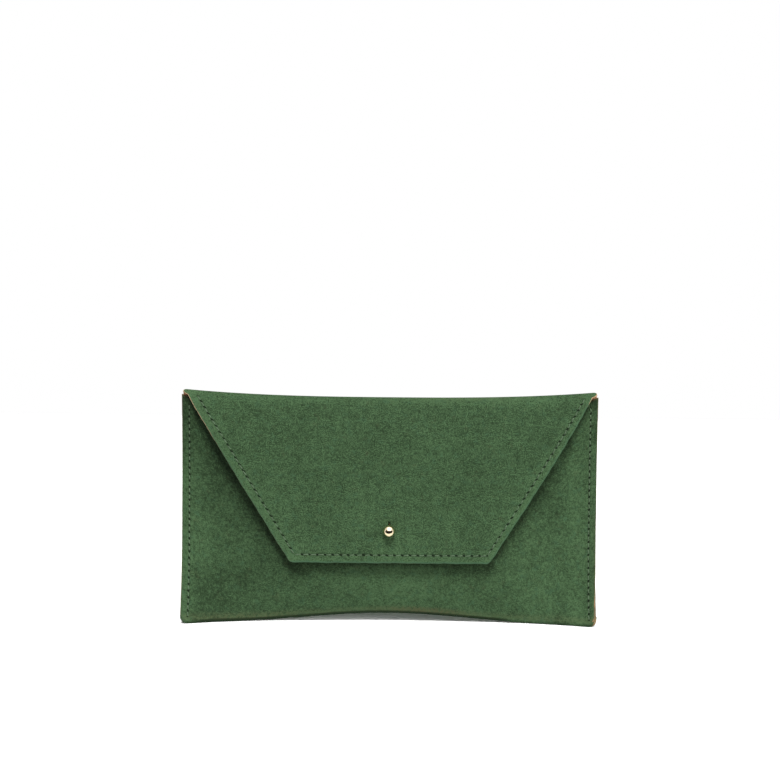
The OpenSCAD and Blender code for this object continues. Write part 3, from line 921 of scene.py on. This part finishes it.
def suede_material(look, name, nap_depth):
    """Dyed suede: brushed nap with painted shade and light, flecks of the dye, stitch holes with painted
    shade, and worn folds, laid out on the flat sheet.
    """
    material, shader, w = new_material(name)
    flat = w.node("ShaderNodeUVMap", uv_map="flat").outputs[0]
    # The lay attribute brings painted shade and light into the nap's tone
    nap = w.math("MULTIPLY_ADD", w.attribute("lay"), LAY_SHADE, 0.5)
    layers = {}
    for layer, (scale, detail, rough, strength) in NAP_LAYERS.items():
        layers[layer] = w.noise(flat, scale, detail, rough)
        share = strength * nap_depth if layer == "fibre" else strength
        nap = w.math("MULTIPLY_ADD", w.math("SUBTRACT", layers[layer], 0.5), share, nap)
    grain, fibre = layers["grain"], layers["fibre"]
    lifted = w.ramp(nap, 0.0, 1.0)
    colour = w.mix(lifted, rgba(look.suede_dark), rgba(look.suede_pale))
    flecks = w.ramp(w.noise(flat, scale=31.0, detail=2.0), 0.52, 0.72)
    cool = w.math("MULTIPLY", flecks, w.math("MULTIPLY", lifted, COOL_SHARE))
    colour = w.mix(cool, colour, rgba(look.suede_teal))
    thin = w.ramp(w.noise(flat, scale=24.0, detail=2.0, rough=0.7), 0.58, 0.78)
    warm = w.math("MULTIPLY", thin, WARM_SHARE)
    worn = w.attribute("worn")
    rubbed = w.math("MULTIPLY", w.math("MAXIMUM", worn, 0.0), w.ramp(grain, 0.28, 0.6))
    colour = w.mix(w.math("MAXIMUM", warm, rubbed), colour, rgba(look.suede_brown))
    loose = w.math("MAXIMUM", w.math("MULTIPLY", worn, -1.0), 0.0)
    fuzzy = w.math("MULTIPLY", loose, w.ramp(fibre, 0.2, 0.55))
    colour = w.mix(fuzzy, colour, rgba(look.suede_edge))

    hole, groove = stitch_holes(w)
    # Painted shade in the stitch groove and in the holes
    colour = w.mix(w.math("MULTIPLY", groove, GROOVE_SHADE), colour, rgba(look.suede_dark))
    colour = w.mix(w.math("MULTIPLY", hole, HOLE_SHADE), colour, HOLE_DARK)
    bare = w.math("MULTIPLY", w.attribute("raw"), w.ramp(grain, 0.2, 0.55))
    colour = w.mix(bare, colour, rgba(look.raw))

    height = w.math("MULTIPLY", w.math("SUBTRACT", grain, 0.5), nap_depth * look.nap)
    height = w.math("MULTIPLY_ADD", w.math("SUBTRACT", fibre, 0.5), 0.7 * nap_depth * look.nap, height)
    height = w.math("MULTIPLY_ADD", groove, GROOVE_DEEP, height)
    height = w.math("MULTIPLY_ADD", hole, HOLE_DEEP, height)
    bump = w.node("ShaderNodeBump", {"Strength": 1.0, "Distance": 0.0001, "Height": height})
    set_surface(w, shader, colour, bump, 0.95, 0.12)
    shader.inputs["Sheen Weight"].default_value = 0.12
    shader.inputs["Sheen Roughness"].default_value = 0.45
    shader.inputs["Sheen Tint"].default_value = rgba(look.suede_pale)
    return material


def raw_material(look):
    """Undyed fibres at the cut edges."""
    if "cut_edge" in bpy.data.materials:
        return bpy.data.materials["cut_edge"]
    material, shader, w = new_material("cut_edge")
    place = w.node("ShaderNodeTexCoord").outputs["Object"]
    layers = w.noise(place, scale=2600.0, detail=3.0, rough=0.7)
    patch = w.noise(place, scale=160.0, detail=2.0)
    colour = w.mix(w.ramp(layers, 0.3, 0.7), rgba(look.leather), rgba(look.raw))
    colour = w.mix(w.ramp(patch, 0.5, 0.75, 0.0, 0.55), colour, rgba(look.leather))
    # Painted shade on the cut edges where raw is below nothing
    colour = w.mix(w.math("MULTIPLY", w.attribute("raw"), -0.8), colour, rgba(look.foot_edge_shade))
    bump = w.node("ShaderNodeBump", {"Strength": 1.0, "Distance": 0.00004, "Height": layers})
    set_surface(w, shader, colour, bump, 0.9, 0.2)
    return material


def leather_material(look):
    """Smooth undyed side of the leather, with fine pores."""
    if "tan_leather" in bpy.data.materials:
        return bpy.data.materials["tan_leather"]
    material, shader, w = new_material("tan_leather")
    place = w.node("ShaderNodeTexCoord").outputs["Object"]
    inputs = {"Vector": place, "Scale": 1500.0}
    cells = w.node("ShaderNodeTexVoronoi", inputs, feature="DISTANCE_TO_EDGE").outputs[0]
    cloud = w.noise(place, scale=45.0, detail=4.0)
    pores = w.noise(place, scale=1900.0, detail=2.0)
    colour = w.mix(w.ramp(cloud, 0.3, 0.75, 0.0, 0.4), rgba(look.leather), rgba(look.leather_deep))
    colour = w.mix(w.ramp(cells, 0.0, 0.12, 0.35, 0.0), colour, rgba(look.leather_deep))
    # Painted shade on the leather where raw is below nothing
    colour = w.mix(w.math("MULTIPLY", w.attribute("raw"), -4.0), colour, rgba(look.foot_edge_shade))
    height = w.math("ADD", w.ramp(cells, 0.0, 0.2), w.math("MULTIPLY", pores, 0.4))
    bump = w.node("ShaderNodeBump", {"Strength": 0.7, "Distance": 0.00005, "Height": height})
    set_surface(w, shader, colour, bump, 0.6, 0.35)
    return material


def thread_material(look):
    """Twisted sewing thread."""
    if "sewing_thread" in bpy.data.materials:
        return bpy.data.materials["sewing_thread"]
    material, shader, w = new_material("sewing_thread")
    place = w.node("ShaderNodeTexCoord").outputs["Object"]
    strands = w.noise(place, scale=2400.0, detail=2.0)
    colour = w.mix(w.ramp(strands, 0.35, 0.65), rgba([0.6 * c for c in look.thread]), rgba(look.thread))
    bump = w.node("ShaderNodeBump", {"Strength": 0.8, "Distance": 0.00005, "Height": strands})
    set_surface(w, shader, colour, bump, 0.85, 0.1)
    return material


def brass_material(look, ball_back):
    """Brass, polished on the ball with a little tarnish, and painted dark and dull behind ball_back, the
    place along Y where its neck begins, as painted shade on the neck, the flange and the screw.
    """
    if "polished_brass" in bpy.data.materials:
        return bpy.data.materials["polished_brass"]
    material, shader, w = new_material("polished_brass")
    place = w.node("ShaderNodeTexCoord").outputs["Object"]
    film = w.noise(place, scale=700.0, detail=3.0)
    depth = w.node("ShaderNodeSeparateXYZ", {0: place}).outputs[1]
    # Painted shade: the neck, the flange and the screw are made dark and dull
    neck_shade = w.ramp(depth, ball_back - 0.0010, ball_back)
    tarnish_and_shade = w.math("MAXIMUM", neck_shade, w.ramp(film, 0.55, 0.85, 0.0, 0.3))
    rough = w.ramp(film, 0.3, 0.8, 0.7 * look.brass_rough, 1.8 * look.brass_rough)
    w.tree.links.new(w.math("MULTIPLY_ADD", neck_shade, 0.25, rough), shader.inputs["Roughness"])
    w.tree.links.new(w.mix(tarnish_and_shade, rgba(look.brass), rgba(look.brass_dull)), shader.inputs["Base Color"])
    shader.inputs["Metallic"].default_value = 1.0
    return material


# Half depth of the buttonhole's cutter, its points round the hole, and the slit's tip as a share of its width
CUT_DEEP = 0.003
CUT_POINTS = 41
SLIT_TIP = 0.16


def cut_buttonhole(form, obj, deep, material):
    """Cuts the round buttonhole with its slit through a layer of the flap."""
    r = form.flap.hole / 2
    half = form.flap.slit_width / 2
    start = math.asin(half / r)
    angles = np.linspace(math.pi / 2 + start, math.pi / 2 - start + 2 * math.pi, CUT_POINTS)
    outline = [(r * math.cos(a), r * math.sin(a)) for a in angles]
    outline += [(SLIT_TIP * half, form.flap.slit), (-SLIT_TIP * half, form.flap.slit)]
    n = len(outline)
    points = []
    for level in (deep - CUT_DEEP, deep + CUT_DEEP):
        points += [(x, form.back_y - level, form.stud_z + z) for x, z in outline]
    faces = [list(range(n - 1, -1, -1)), list(range(n, 2 * n))]
    faces += [[i, (i + 1) % n, (i + 1) % n + n, i + n] for i in range(n)]
    mesh = bpy.data.meshes.new("buttonhole_cutter")
    mesh.from_pydata(points, [], faces)
    mesh.materials.append(material)
    cutter = link_object("buttonhole_cutter", mesh)
    cut = obj.modifiers.new("Buttonhole", "BOOLEAN")
    cut.operation, cut.solver, cut.material_mode, cut.object = "DIFFERENCE", "EXACT", "TRANSFER", cutter
    bpy.context.view_layer.update()
    depsgraph = bpy.context.evaluated_depsgraph_get()
    cut_obj = obj.evaluated_get(depsgraph)
    result = bpy.data.meshes.new_from_object(cut_obj, preserve_all_data_layers=True, depsgraph=depsgraph)
    obj.modifiers.remove(cut)
    bpy.data.objects.remove(cutter)
    old = obj.data
    obj.data = result
    bpy.data.meshes.remove(old)
    result.name = obj.name


# Stitches in their rows: share of the pitch between points, half length in pitches, chance turn and sides
ROW_SHARE = 0.99
STITCH_HALF = 0.38
STITCH_CHANCE = 0.06
STITCH_SIDES = 10


def stitch_tree():
    """Geometry nodes that lay bent stitches along lines of points that know the leather's direction."""
    if "stitch_rows" in bpy.data.node_groups:
        return bpy.data.node_groups["stitch_rows"]
    tree = bpy.data.node_groups.new("stitch_rows", "GeometryNodeTree")
    face = tree.interface
    face.new_socket("Lines", in_out="INPUT", socket_type="NodeSocketGeometry")
    for name in ("Pitch", "Thread radius", "Rise", "Sink", "Tilt"):
        face.new_socket(name, in_out="INPUT", socket_type="NodeSocketFloat")
    face.new_socket("Seed", in_out="INPUT", socket_type="NodeSocketInt")
    face.new_socket("Material", in_out="INPUT", socket_type="NodeSocketMaterial")
    face.new_socket("Stitches", in_out="OUTPUT", socket_type="NodeSocketGeometry")
    w = Wires(tree)
    given = w.node("NodeGroupInput").outputs
    curve = w.node("GeometryNodeMeshToCurve", {0: given["Lines"]}).outputs[0]
    step = w.math("MULTIPLY", given["Pitch"], ROW_SHARE)
    rows = w.node("GeometryNodeResampleCurve", {"Curve": curve, "Length": step}, mode="LENGTH")
    half = w.math("MULTIPLY", given["Pitch"], STITCH_HALF)
    low = w.math("MULTIPLY", given["Sink"], -1.0)
    top = w.math("MULTIPLY_ADD", given["Rise"], 2.0, given["Sink"])
    start = w.node("ShaderNodeCombineXYZ", {0: w.math("MULTIPLY", half, -1.0), 2: low}).outputs[0]
    middle = w.node("ShaderNodeCombineXYZ", {2: top}).outputs[0]
    end = w.node("ShaderNodeCombineXYZ", {0: half, 2: low}).outputs[0]
    inputs = {"Resolution": STITCH_SIDES, "Start": start, "Middle": middle, "End": end}
    bow = w.node("GeometryNodeCurveQuadraticBezier", inputs)
    inputs = {"Resolution": STITCH_SIDES, "Radius": given["Thread radius"]}
    ring = w.node("GeometryNodeCurvePrimitiveCircle", inputs, mode="RADIUS")
    inputs = {"Curve": bow.outputs[0], "Profile Curve": ring.outputs[0], "Fill Caps": True}
    stitch = w.node("GeometryNodeCurveToMesh", inputs)
    named = w.node("GeometryNodeInputNamedAttribute", {"Name": "outward"}, data_type="FLOAT_VECTOR")
    outward = named.outputs[0]
    tangent = w.node("GeometryNodeInputTangent").outputs[0]
    aim = w.node("FunctionNodeAxesToRotation", {0: outward, 1: tangent}, primary_axis="Z", secondary_axis="X")
    inputs = {"Points": rows.outputs[0], "Instance": stitch.outputs[0], "Rotation": aim.outputs[0]}
    laid = w.node("GeometryNodeInstanceOnPoints", inputs)
    inputs = {2: -STITCH_CHANCE, 3: STITCH_CHANCE, "Seed": given["Seed"]}
    chance = w.node("FunctionNodeRandomValue", inputs, data_type="FLOAT").outputs[1]
    slant = w.node("ShaderNodeCombineXYZ", {2: w.math("ADD", given["Tilt"], chance)}).outputs[0]
    slanted = w.node("GeometryNodeRotateInstances", {"Instances": laid.outputs[0], "Rotation": slant})
    solid = w.node("GeometryNodeRealizeInstances", {0: slanted.outputs[0]})
    soft = w.node("GeometryNodeSetShadeSmooth", {0: solid.outputs[0]})
    dyed = w.node("GeometryNodeSetMaterial", {"Geometry": soft.outputs[0], "Material": given["Material"]})
    w.node("NodeGroupOutput", {0: dyed.outputs[0]})
    return tree


def sew(name, rows, stitch, look):
    """One mesh with all stitches of some rows."""
    points, outward, edges = [], [], []
    for row in rows:
        line, face = row.centres()
        first = len(points)
        points += line.tolist()
        outward += face.tolist()
        edges += [(i, i + 1) for i in range(first, first + len(line) - 1)]
    mesh = bpy.data.meshes.new(name + "_line")
    mesh.from_pydata(points, edges, [])
    attribute = mesh.attributes.new("outward", "FLOAT_VECTOR", "POINT")
    attribute.data.foreach_set("vector", np.array(outward).ravel())
    guide = link_object(name + "_line", mesh)
    tree = stitch_tree()
    modifier = guide.modifiers.new("Stitches", "NODES")
    modifier.node_group = tree
    values = {
        "Pitch": rows[0].pitch,
        "Thread radius": stitch.thread / 2,
        "Rise": stitch.rise,
        "Sink": stitch.sink,
        "Tilt": stitch.tilt,
        "Seed": stitch.seed,
        "Material": thread_material(look),
    }
    for item in tree.interface.items_tree:
        if item.in_out == "INPUT" and item.name in values:
            modifier[item.identifier] = values[item.name]
    bpy.context.view_layer.update()
    depsgraph = bpy.context.evaluated_depsgraph_get()
    made = bpy.data.meshes.new_from_object(guide.evaluated_get(depsgraph), depsgraph=depsgraph)
    bpy.data.objects.remove(guide)
    bpy.data.meshes.remove(mesh)
    made.name = name
    if not made.polygons:
        raise RuntimeError(f"{name}: no stitch was made")
    return link_object(name, made)


def lathe(name, profile, origin, material, count=72):
    """A turned piece along -Y, from a profile of radius and height pairs."""
    points, faces = [], []
    for r, h in profile:
        for i in range(count):
            a = 2 * math.pi * i / count
            points.append((origin[0] + r * math.cos(a), origin[1] - h, origin[2] + r * math.sin(a)))
    for j in range(len(profile) - 1):
        for i in range(count):
            k = (i + 1) % count
            faces.append((j * count + i, j * count + k, (j + 1) * count + k, (j + 1) * count + i))
    faces.append(tuple(range(count - 1, -1, -1)))
    faces.append(tuple((len(profile) - 1) * count + i for i in range(count)))
    mesh = bpy.data.meshes.new(name)
    mesh.from_pydata(points, [], faces)
    mesh.polygons.foreach_set("use_smooth", [True] * len(faces))
    mesh.update()
    mesh.materials.append(material)
    return link_object(name, mesh)


# Radius at an edge that meets another sheet in a fold
JOINED = 0.00002
# Share of the bare edge that is dyed again down the flap, and the bareness of its bottom edge and the mouth
DYED_AGAIN = 0.92
BOTTOM_BARE, MOUTH_BARE = 0.05, 0.3
# Columns at the back's right edge that get painted shade near the foot
SHADED_COLUMNS = 5
# Wear of the top fold: middle and half width in rows from its crest, where it is rubbed and where it is worn
RUBBED_ROWS, CREST_ROWS = (4, 7), (-2, 9)
# How far the rubbed place lifts the nap, and how much dye it and the crest have lost
RUBBED_LAY, RUBBED_DYE, CREST_DYE = 0.6, 0.22, 0.16
# Dye lost along the front's bottom fold: all over, in its middle and to the left, and at its right edge
HEM_DYE, HEM_MIDDLE, HEM_LEFT, EDGE_DYE = 0.28, 0.62, 0.2, 0.25
# Bareness of the front's side edges, how far painted shade darkens the nap under the bottom fold, and how far
# the nap is painted paler on it
SIDE_BARE = 0.5
HEM_SHADE, HEM_PALE = 4.0, 0.4
# Loose fibres in the outer columns of the flap and in its last rows
FUZZY_COLUMNS = (0.6, 0.35)
FUZZY_ROWS = (0.3, 0.85, 0.9)
# Radius of the edges of the facing and of the divider
LINING_ROUND = 0.0002
# Radius that closes a turned piece at its axis, and steps of its turned edges and of the ball
AXIS = 1e-5
EDGE_TURNS, BALL_TURNS = 5, 41


class HOLDER_OT_suede_shell(Operator):
    """Back panel, top fold and flap, cut from one piece of suede"""

    bl_idname = "holder.suede_shell"
    bl_label = "Suede shell"

    def execute(self, context):
        settings = context.scene.card_holder
        form, look = Form(settings), settings.look
        mid, kinds = shell_grid(form)
        at = np.arange(len(kinds))
        fold_end = at[kinds == "fold"][-1]
        way = np.concatenate([[0.0], np.cumsum(np.linalg.norm(np.diff(mid[:, 0], axis=0), axis=-1))])
        below = way - way[fold_end]
        edge_raw = rise(below, -0.011, 0.003) * (1 - DYED_AGAIN * rise(below, 0.004, 0.030))
        raw = np.repeat(edge_raw[:, None], mid.shape[1], 1)
        raw[:, -1] *= fall(below, 0.0005, 0.006)
        raw[-1] = BOTTOM_BARE
        outside = (kinds == "hem") | (kinds == "back")
        # Painted shade on the back's right edge near the foot
        raw[outside, -SHADED_COLUMNS:] = -fall(mid[outside, -SHADED_COLUMNS:, 2], 0.016, 0.010)
        lay = form.flap_shade_and_light(mid[..., 0], mid[..., 2])
        lay[outside] = 0.0
        past = (at - at[kinds == "fold"].mean())[:, None]
        rubbed = hump(past, *RUBBED_ROWS) * hump(mid[..., 0], 0.030, 0.045)
        lay -= RUBBED_LAY * rubbed
        ends = mix(0.4, 1.0, form.share(mid[..., 0]) ** 4)
        worn = CREST_DYE * hump(past, *CREST_ROWS) * ends + RUBBED_DYE * rubbed
        flap = kinds == "flap"
        for i, pale in enumerate(FUZZY_COLUMNS):
            worn[flap, i] = worn[flap, -1 - i] = -pale
        worn[-len(FUZZY_ROWS) :] = -np.array(FUZZY_ROWS)[:, None]

        def marks(corners, rows):
            result = np.full(corners.shape[:2] + (2,), FAR)
            back, flap = kinds[rows.max(-1)] == "back", kinds[rows.min(-1)] == "flap"
            result[back] = seam_marks(form, corners[back], False)
            result[flap] = flap_marks(form, corners[flap], True)
            return result

        materials = [suede_material(look, "brushed_suede", 1.0), leather_material(look), raw_material(look)]
        rounds = (JOINED, form.body.round, form.body.round)
        flat = flat_places(mid)
        paint = (raw, worn, lay, marks)
        shell = closed_sheet("suede_shell", mid, form.body.suede, -1, rounds, materials, flat, *paint)
        cut_buttonhole(form, shell, form.flap_deep, raw_material(look))
        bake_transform(shell)
        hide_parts("back_panel", "top_fold", "flap_panel")
        declare_sheet(mid)
        return {"FINISHED"}


class HOLDER_OT_suede_front(Operator):
    """Front panel with the bottom fold"""

    bl_idname = "holder.suede_front"
    bl_label = "Suede front"

    def execute(self, context):
        settings = context.scene.card_holder
        form, look = Form(settings), settings.look
        mid = front_grid(form)
        x = mid[..., 0]
        above_hem = np.arange(len(mid))[:, None] - FRONT_HEM_ROWS
        rubbed = HEM_DYE + HEM_MIDDLE * hump(x, 0.016, 0.030) + HEM_LEFT * hump(x, -0.055, 0.04)
        worn = hump(above_hem, 0.5, 3.2) * rubbed
        worn += EDGE_DYE * fall(form.half - x, 0.0, 0.0035) * fall(above_hem, 37, 20)
        bare = SIDE_BARE * rise(above_hem, -5, 20) * (1 - 0.5 * rise(above_hem, 17, 20))
        raw = np.repeat(bare, mid.shape[1], 1)
        # Painted shade on the front's right edge near the foot
        raw[:, -1:] = mix(raw[:, -1:], -1.0, fall(above_hem, 8, 8))
        raw[-1] = MOUTH_BARE
        # Painted shade on the underside of the bottom fold
        under = fall(above_hem, -2, 2) * rise(x, -0.083, 0.01) * fall(x, 0.042, 0.012)
        lay = HEM_SHADE * under - HEM_PALE * hump(above_hem, 0.5, 2.2)
        lay = lay + form.front_shade_and_light(x, mid[..., 2])

        def marks(corners, rows):
            result = seam_marks(form, corners, True)
            result[rows.max(-1) <= FRONT_HEM_ROWS] = FAR
            return result

        materials = [suede_material(look, "smoothed_suede", 0.6), leather_material(look), raw_material(look)]
        rounds = (JOINED, form.body.round, form.body.round)
        flat = flat_places(mid, -1.0)
        paint = (raw, worn, lay, marks)
        front = closed_sheet("suede_front", mid, form.body.suede, 1, rounds, materials, flat, *paint)
        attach(front, "pouch")
        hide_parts("front_panel")
        declare_sheet(mid)
        return {"FINISHED"}


class HOLDER_OT_lining(Operator):
    """Facing of the flap and card divider"""

    bl_idname = "holder.lining"
    bl_label = "Facing and divider"

    def execute(self, context):
        settings = context.scene.card_holder
        form, look = Form(settings), settings.look
        materials = [leather_material(look), leather_material(look), raw_material(look)]
        rounds = [LINING_ROUND] * 3
        mid = facing_grid(form)
        flat = flat_places(mid)
        facing = closed_sheet("flap_facing_leather", mid, form.body.lining, 1, rounds, materials, flat)
        deep = form.flap_deep - form.body.suede / 2
        cut_buttonhole(form, facing, deep, raw_material(look))
        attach(facing, "flap")
        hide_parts("flap_facing")
        declare_sheet(mid)
        mid = divider_grid(form)
        flat = flat_places(mid)
        divider = closed_sheet("card_divider_leather", mid, form.body.lining, 1, rounds, materials, flat)
        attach(divider, "pouch")
        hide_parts("card_divider")
        declare_sheet(mid)
        return {"FINISHED"}


class HOLDER_OT_stitching(Operator):
    """Stitches of the two side seams and of the flap's border"""

    bl_idname = "holder.stitching"
    bl_label = "Stitching"

    def execute(self, context):
        settings = context.scene.card_holder
        form, stitch, look = Form(settings), settings.stitch, settings.look
        for name, side in (("left", -1), ("right", 1)):
            rows = [seam_row(form, side, True), seam_row(form, side, False)]
            seam = sew("seam_stitches_" + name, rows, stitch, look)
            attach(seam, "pouch")
            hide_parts("seam_thread_" + name)
        border = sew("flap_stitches", flap_rows(form, True)[0] + flap_rows(form, False)[0], stitch, look)
        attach(border, "flap")
        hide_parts("flap_thread")
        return {"FINISHED"}


class HOLDER_OT_stud(Operator):
    """Ball stud with its screw and leather backing"""

    bl_idname = "holder.stud"
    bl_label = "Ball stud"

    def execute(self, context):
        settings = context.scene.card_holder
        form, look, k = Form(settings), settings.look, settings.stud
        ball, neck, flange, bore = k.ball / 2, k.neck / 2, k.flange / 2, k.bore / 2
        r = k.edge_r
        profile = [(AXIS, k.bore_deep), (bore, k.bore_deep), (bore, 0.0), (flange - r, 0.0), (flange, r)]
        for a in np.linspace(0, math.pi / 2, EDGE_TURNS):
            profile.append((flange - r + r * math.cos(a), k.flange_thick - r + r * math.sin(a)))
        for a in np.linspace(math.pi / 2, 0, EDGE_TURNS):
            profile.append((neck + r - r * math.cos(a - math.pi / 2), k.flange_thick + r - r * math.sin(a)))
        first = -math.acos(neck / ball)
        for a in np.linspace(first, math.pi / 2, BALL_TURNS)[:-1]:
            profile.append((ball * math.cos(a), form.ball_h + ball * math.sin(a)))
        profile.append((AXIS, form.ball_h + ball))
        origin = (0.0, form.back_y - form.seat, form.stud_z)
        brass = brass_material(look, origin[1] - form.ball_h + math.sqrt(ball**2 - neck**2))
        stud = lathe("brass_ball_stud", profile, origin, brass)
        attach(stud, "pouch")
        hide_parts("ball_stud")
        for name, slot, material in (
            ("stud_screw", "brass", brass),
            ("stud_backing", "lining_leather", leather_material(look)),
        ):
            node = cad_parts[name]
            node.data.materials.clear()
            node.data.materials.append(material)
        return {"FINISHED"}


# Half width of the floor
FLOOR_HALF = 3.0
# Places along Y between which polished metal sees the floor turn from dark to its tone there, a painted
# reflection that darkens the floor in front
MIRROR_FROM, MIRROR_TO, MIRROR_TONE = -0.054, -0.042, 1.15
# Cards that only polished metal sees, painted reflections of a glowing softbox and of a dark room: corners
# and glow
CARDS = {
    "softbox": ([(-0.30, -0.08, 0.62), (0.50, -0.08, 0.62), (0.50, -0.62, 0.20), (-0.30, -0.62, 0.20)], 2.5),
    "dark_card": ([(-1.3, -0.75, 0.0), (1.3, -0.75, 0.0), (1.3, -0.75, 0.50), (-1.3, -0.75, 0.50)], 0.0),
}
# Ways that the light of each lamp travels
LIGHT_WAYS = {"key": (-0.03, 0.62, -0.78), "side": (-0.84, 0.48, -0.26), "rear": (0.0, -1.0, -0.03)}
# Width of the camera's sensor in millimetres and the nearest distance that it sees
SENSOR = 36.0
NEAREST = 0.01


def plane(name, corners, material):
    """A flat piece of the stage."""
    mesh = bpy.data.meshes.new(name)
    mesh.from_pydata(corners, [], [(0, 1, 2, 3)])
    mesh.materials.append(material)
    obj = link_object(name, mesh)
    return obj


def floor_material(stage):
    """Pale floor: a tone for the picture, one for the light thrown back, and a graded one in metal, which is
    a painted reflection.
    """
    material, shader, w = new_material("floor")
    path = w.node("ShaderNodeLightPath").outputs
    place = w.node("ShaderNodeSeparateXYZ", {0: w.node("ShaderNodeTexCoord").outputs["Object"]}).outputs
    in_metal = w.ramp(place[1], MIRROR_FROM, MIRROR_TO, 0.0, MIRROR_TONE)
    mirrored = w.mix(path["Is Glossy Ray"], rgba([stage.bounce] * 3), in_metal)
    colour = w.mix(path["Is Camera Ray"], mirrored, rgba([stage.floor] * 3))
    w.tree.links.new(colour, shader.inputs["Base Color"])
    shader.inputs["Roughness"].default_value = 0.8
    shader.inputs["Specular IOR Level"].default_value = 0.1
    return material


def card_material(name, glow):
    """A card that only glows, for a painted reflection."""
    material, shader, _ = new_material(name)
    shader.inputs["Base Color"].default_value = (0.0, 0.0, 0.0, 1.0)
    shader.inputs["Specular IOR Level"].default_value = 0.0
    shader.inputs["Emission Color"].default_value = (1.0, 1.0, 1.0, 1.0)
    shader.inputs["Emission Strength"].default_value = glow
    return material


def room_world(stage):
    """White room in the picture, dim as light on the object and brighter in polished metal, as a painted
    reflection.
    """
    world = bpy.data.worlds.new("room")
    world.use_nodes = True
    w = Wires(world.node_tree)
    path = w.node("ShaderNodeLightPath").outputs
    seen = w.math("MAXIMUM", path["Is Camera Ray"], path["Is Transmission Ray"])
    back = world.node_tree.nodes["Background"]
    strength = w.math("MULTIPLY_ADD", seen, 1.0 - stage.fill, stage.fill)
    strength = w.math("MULTIPLY_ADD", path["Is Glossy Ray"], stage.shine - stage.fill, strength)
    w.tree.links.new(strength, back.inputs["Strength"])
    back.inputs["Color"].default_value = (1.0, 1.0, 1.0, 1.0)
    return world


class HOLDER_OT_stage(Operator):
    """Floor, light and camera"""

    bl_idname = "holder.stage"
    bl_label = "Stage"

    def execute(self, context):
        stage, scene = context.scene.card_holder.stage, context.scene
        far = FLOOR_HALF
        corners = [(-far, -far, 0), (far, -far, 0), (far, far, 0), (-far, far, 0)]
        plane("floor", corners, floor_material(stage))
        for name, (corners, glow) in CARDS.items():
            card = plane(name, corners, card_material(name, glow))
            card.visible_camera = card.visible_diffuse = card.visible_shadow = False
        for name, way in LIGHT_WAYS.items():
            light = bpy.data.lights.new(name, "SUN")
            light.energy, light.angle = getattr(stage, name), stage.softness
            lamp = link_object(name, light)
            lamp.rotation_mode = "QUATERNION"
            lamp.rotation_quaternion = Vector(way).to_track_quat("-Z", "Y")
            lamp.visible_glossy = False
        scene.world = room_world(stage)
        lens = bpy.data.cameras.new("camera")
        lens.lens, lens.sensor_width, lens.clip_start = stage.lens, SENSOR, NEAREST
        camera = link_object("camera", lens)
        camera.location = (stage.camera_x, -stage.distance, stage.camera_z)
        camera.rotation_euler = (math.pi / 2, stage.roll, 0.0)
        scene.camera = camera
        scene.view_settings.view_transform = "Standard"
        return {"FINISHED"}


class HOLDER_PT_panel(Panel):
    """The steps that build the card holder"""

    bl_label = "Card holder"
    bl_idname = "HOLDER_PT_panel"
    bl_space_type = "VIEW_3D"
    bl_region_type = "UI"
    bl_category = "Card holder"

    def draw(self, context):
        for step in STEPS:
            self.layout.operator(step.bl_idname)


STEPS = (
    HOLDER_OT_suede_shell,
    HOLDER_OT_suede_front,
    HOLDER_OT_lining,
    HOLDER_OT_stitching,
    HOLDER_OT_stud,
    HOLDER_OT_stage,
)
GROUPS = (HolderBody, HolderFlap, HolderStud, HolderStitch, HolderLook, HolderStage, CardHolder)


def register():
    for cls in GROUPS + STEPS + (HOLDER_PT_panel,):
        bpy.utils.register_class(cls)
    bpy.types.Scene.card_holder = PointerProperty(type=CardHolder)


def unregister():
    del bpy.types.Scene.card_holder
    for cls in reversed(GROUPS + STEPS + (HOLDER_PT_panel,)):
        bpy.utils.unregister_class(cls)


def main():
    register()
    bpy.ops.holder.suede_shell()
    bpy.ops.holder.suede_front()
    bpy.ops.holder.lining()
    bpy.ops.holder.stitching()
    bpy.ops.holder.stud()
    bpy.ops.holder.stage()


if __name__ == "__main__":
    main()
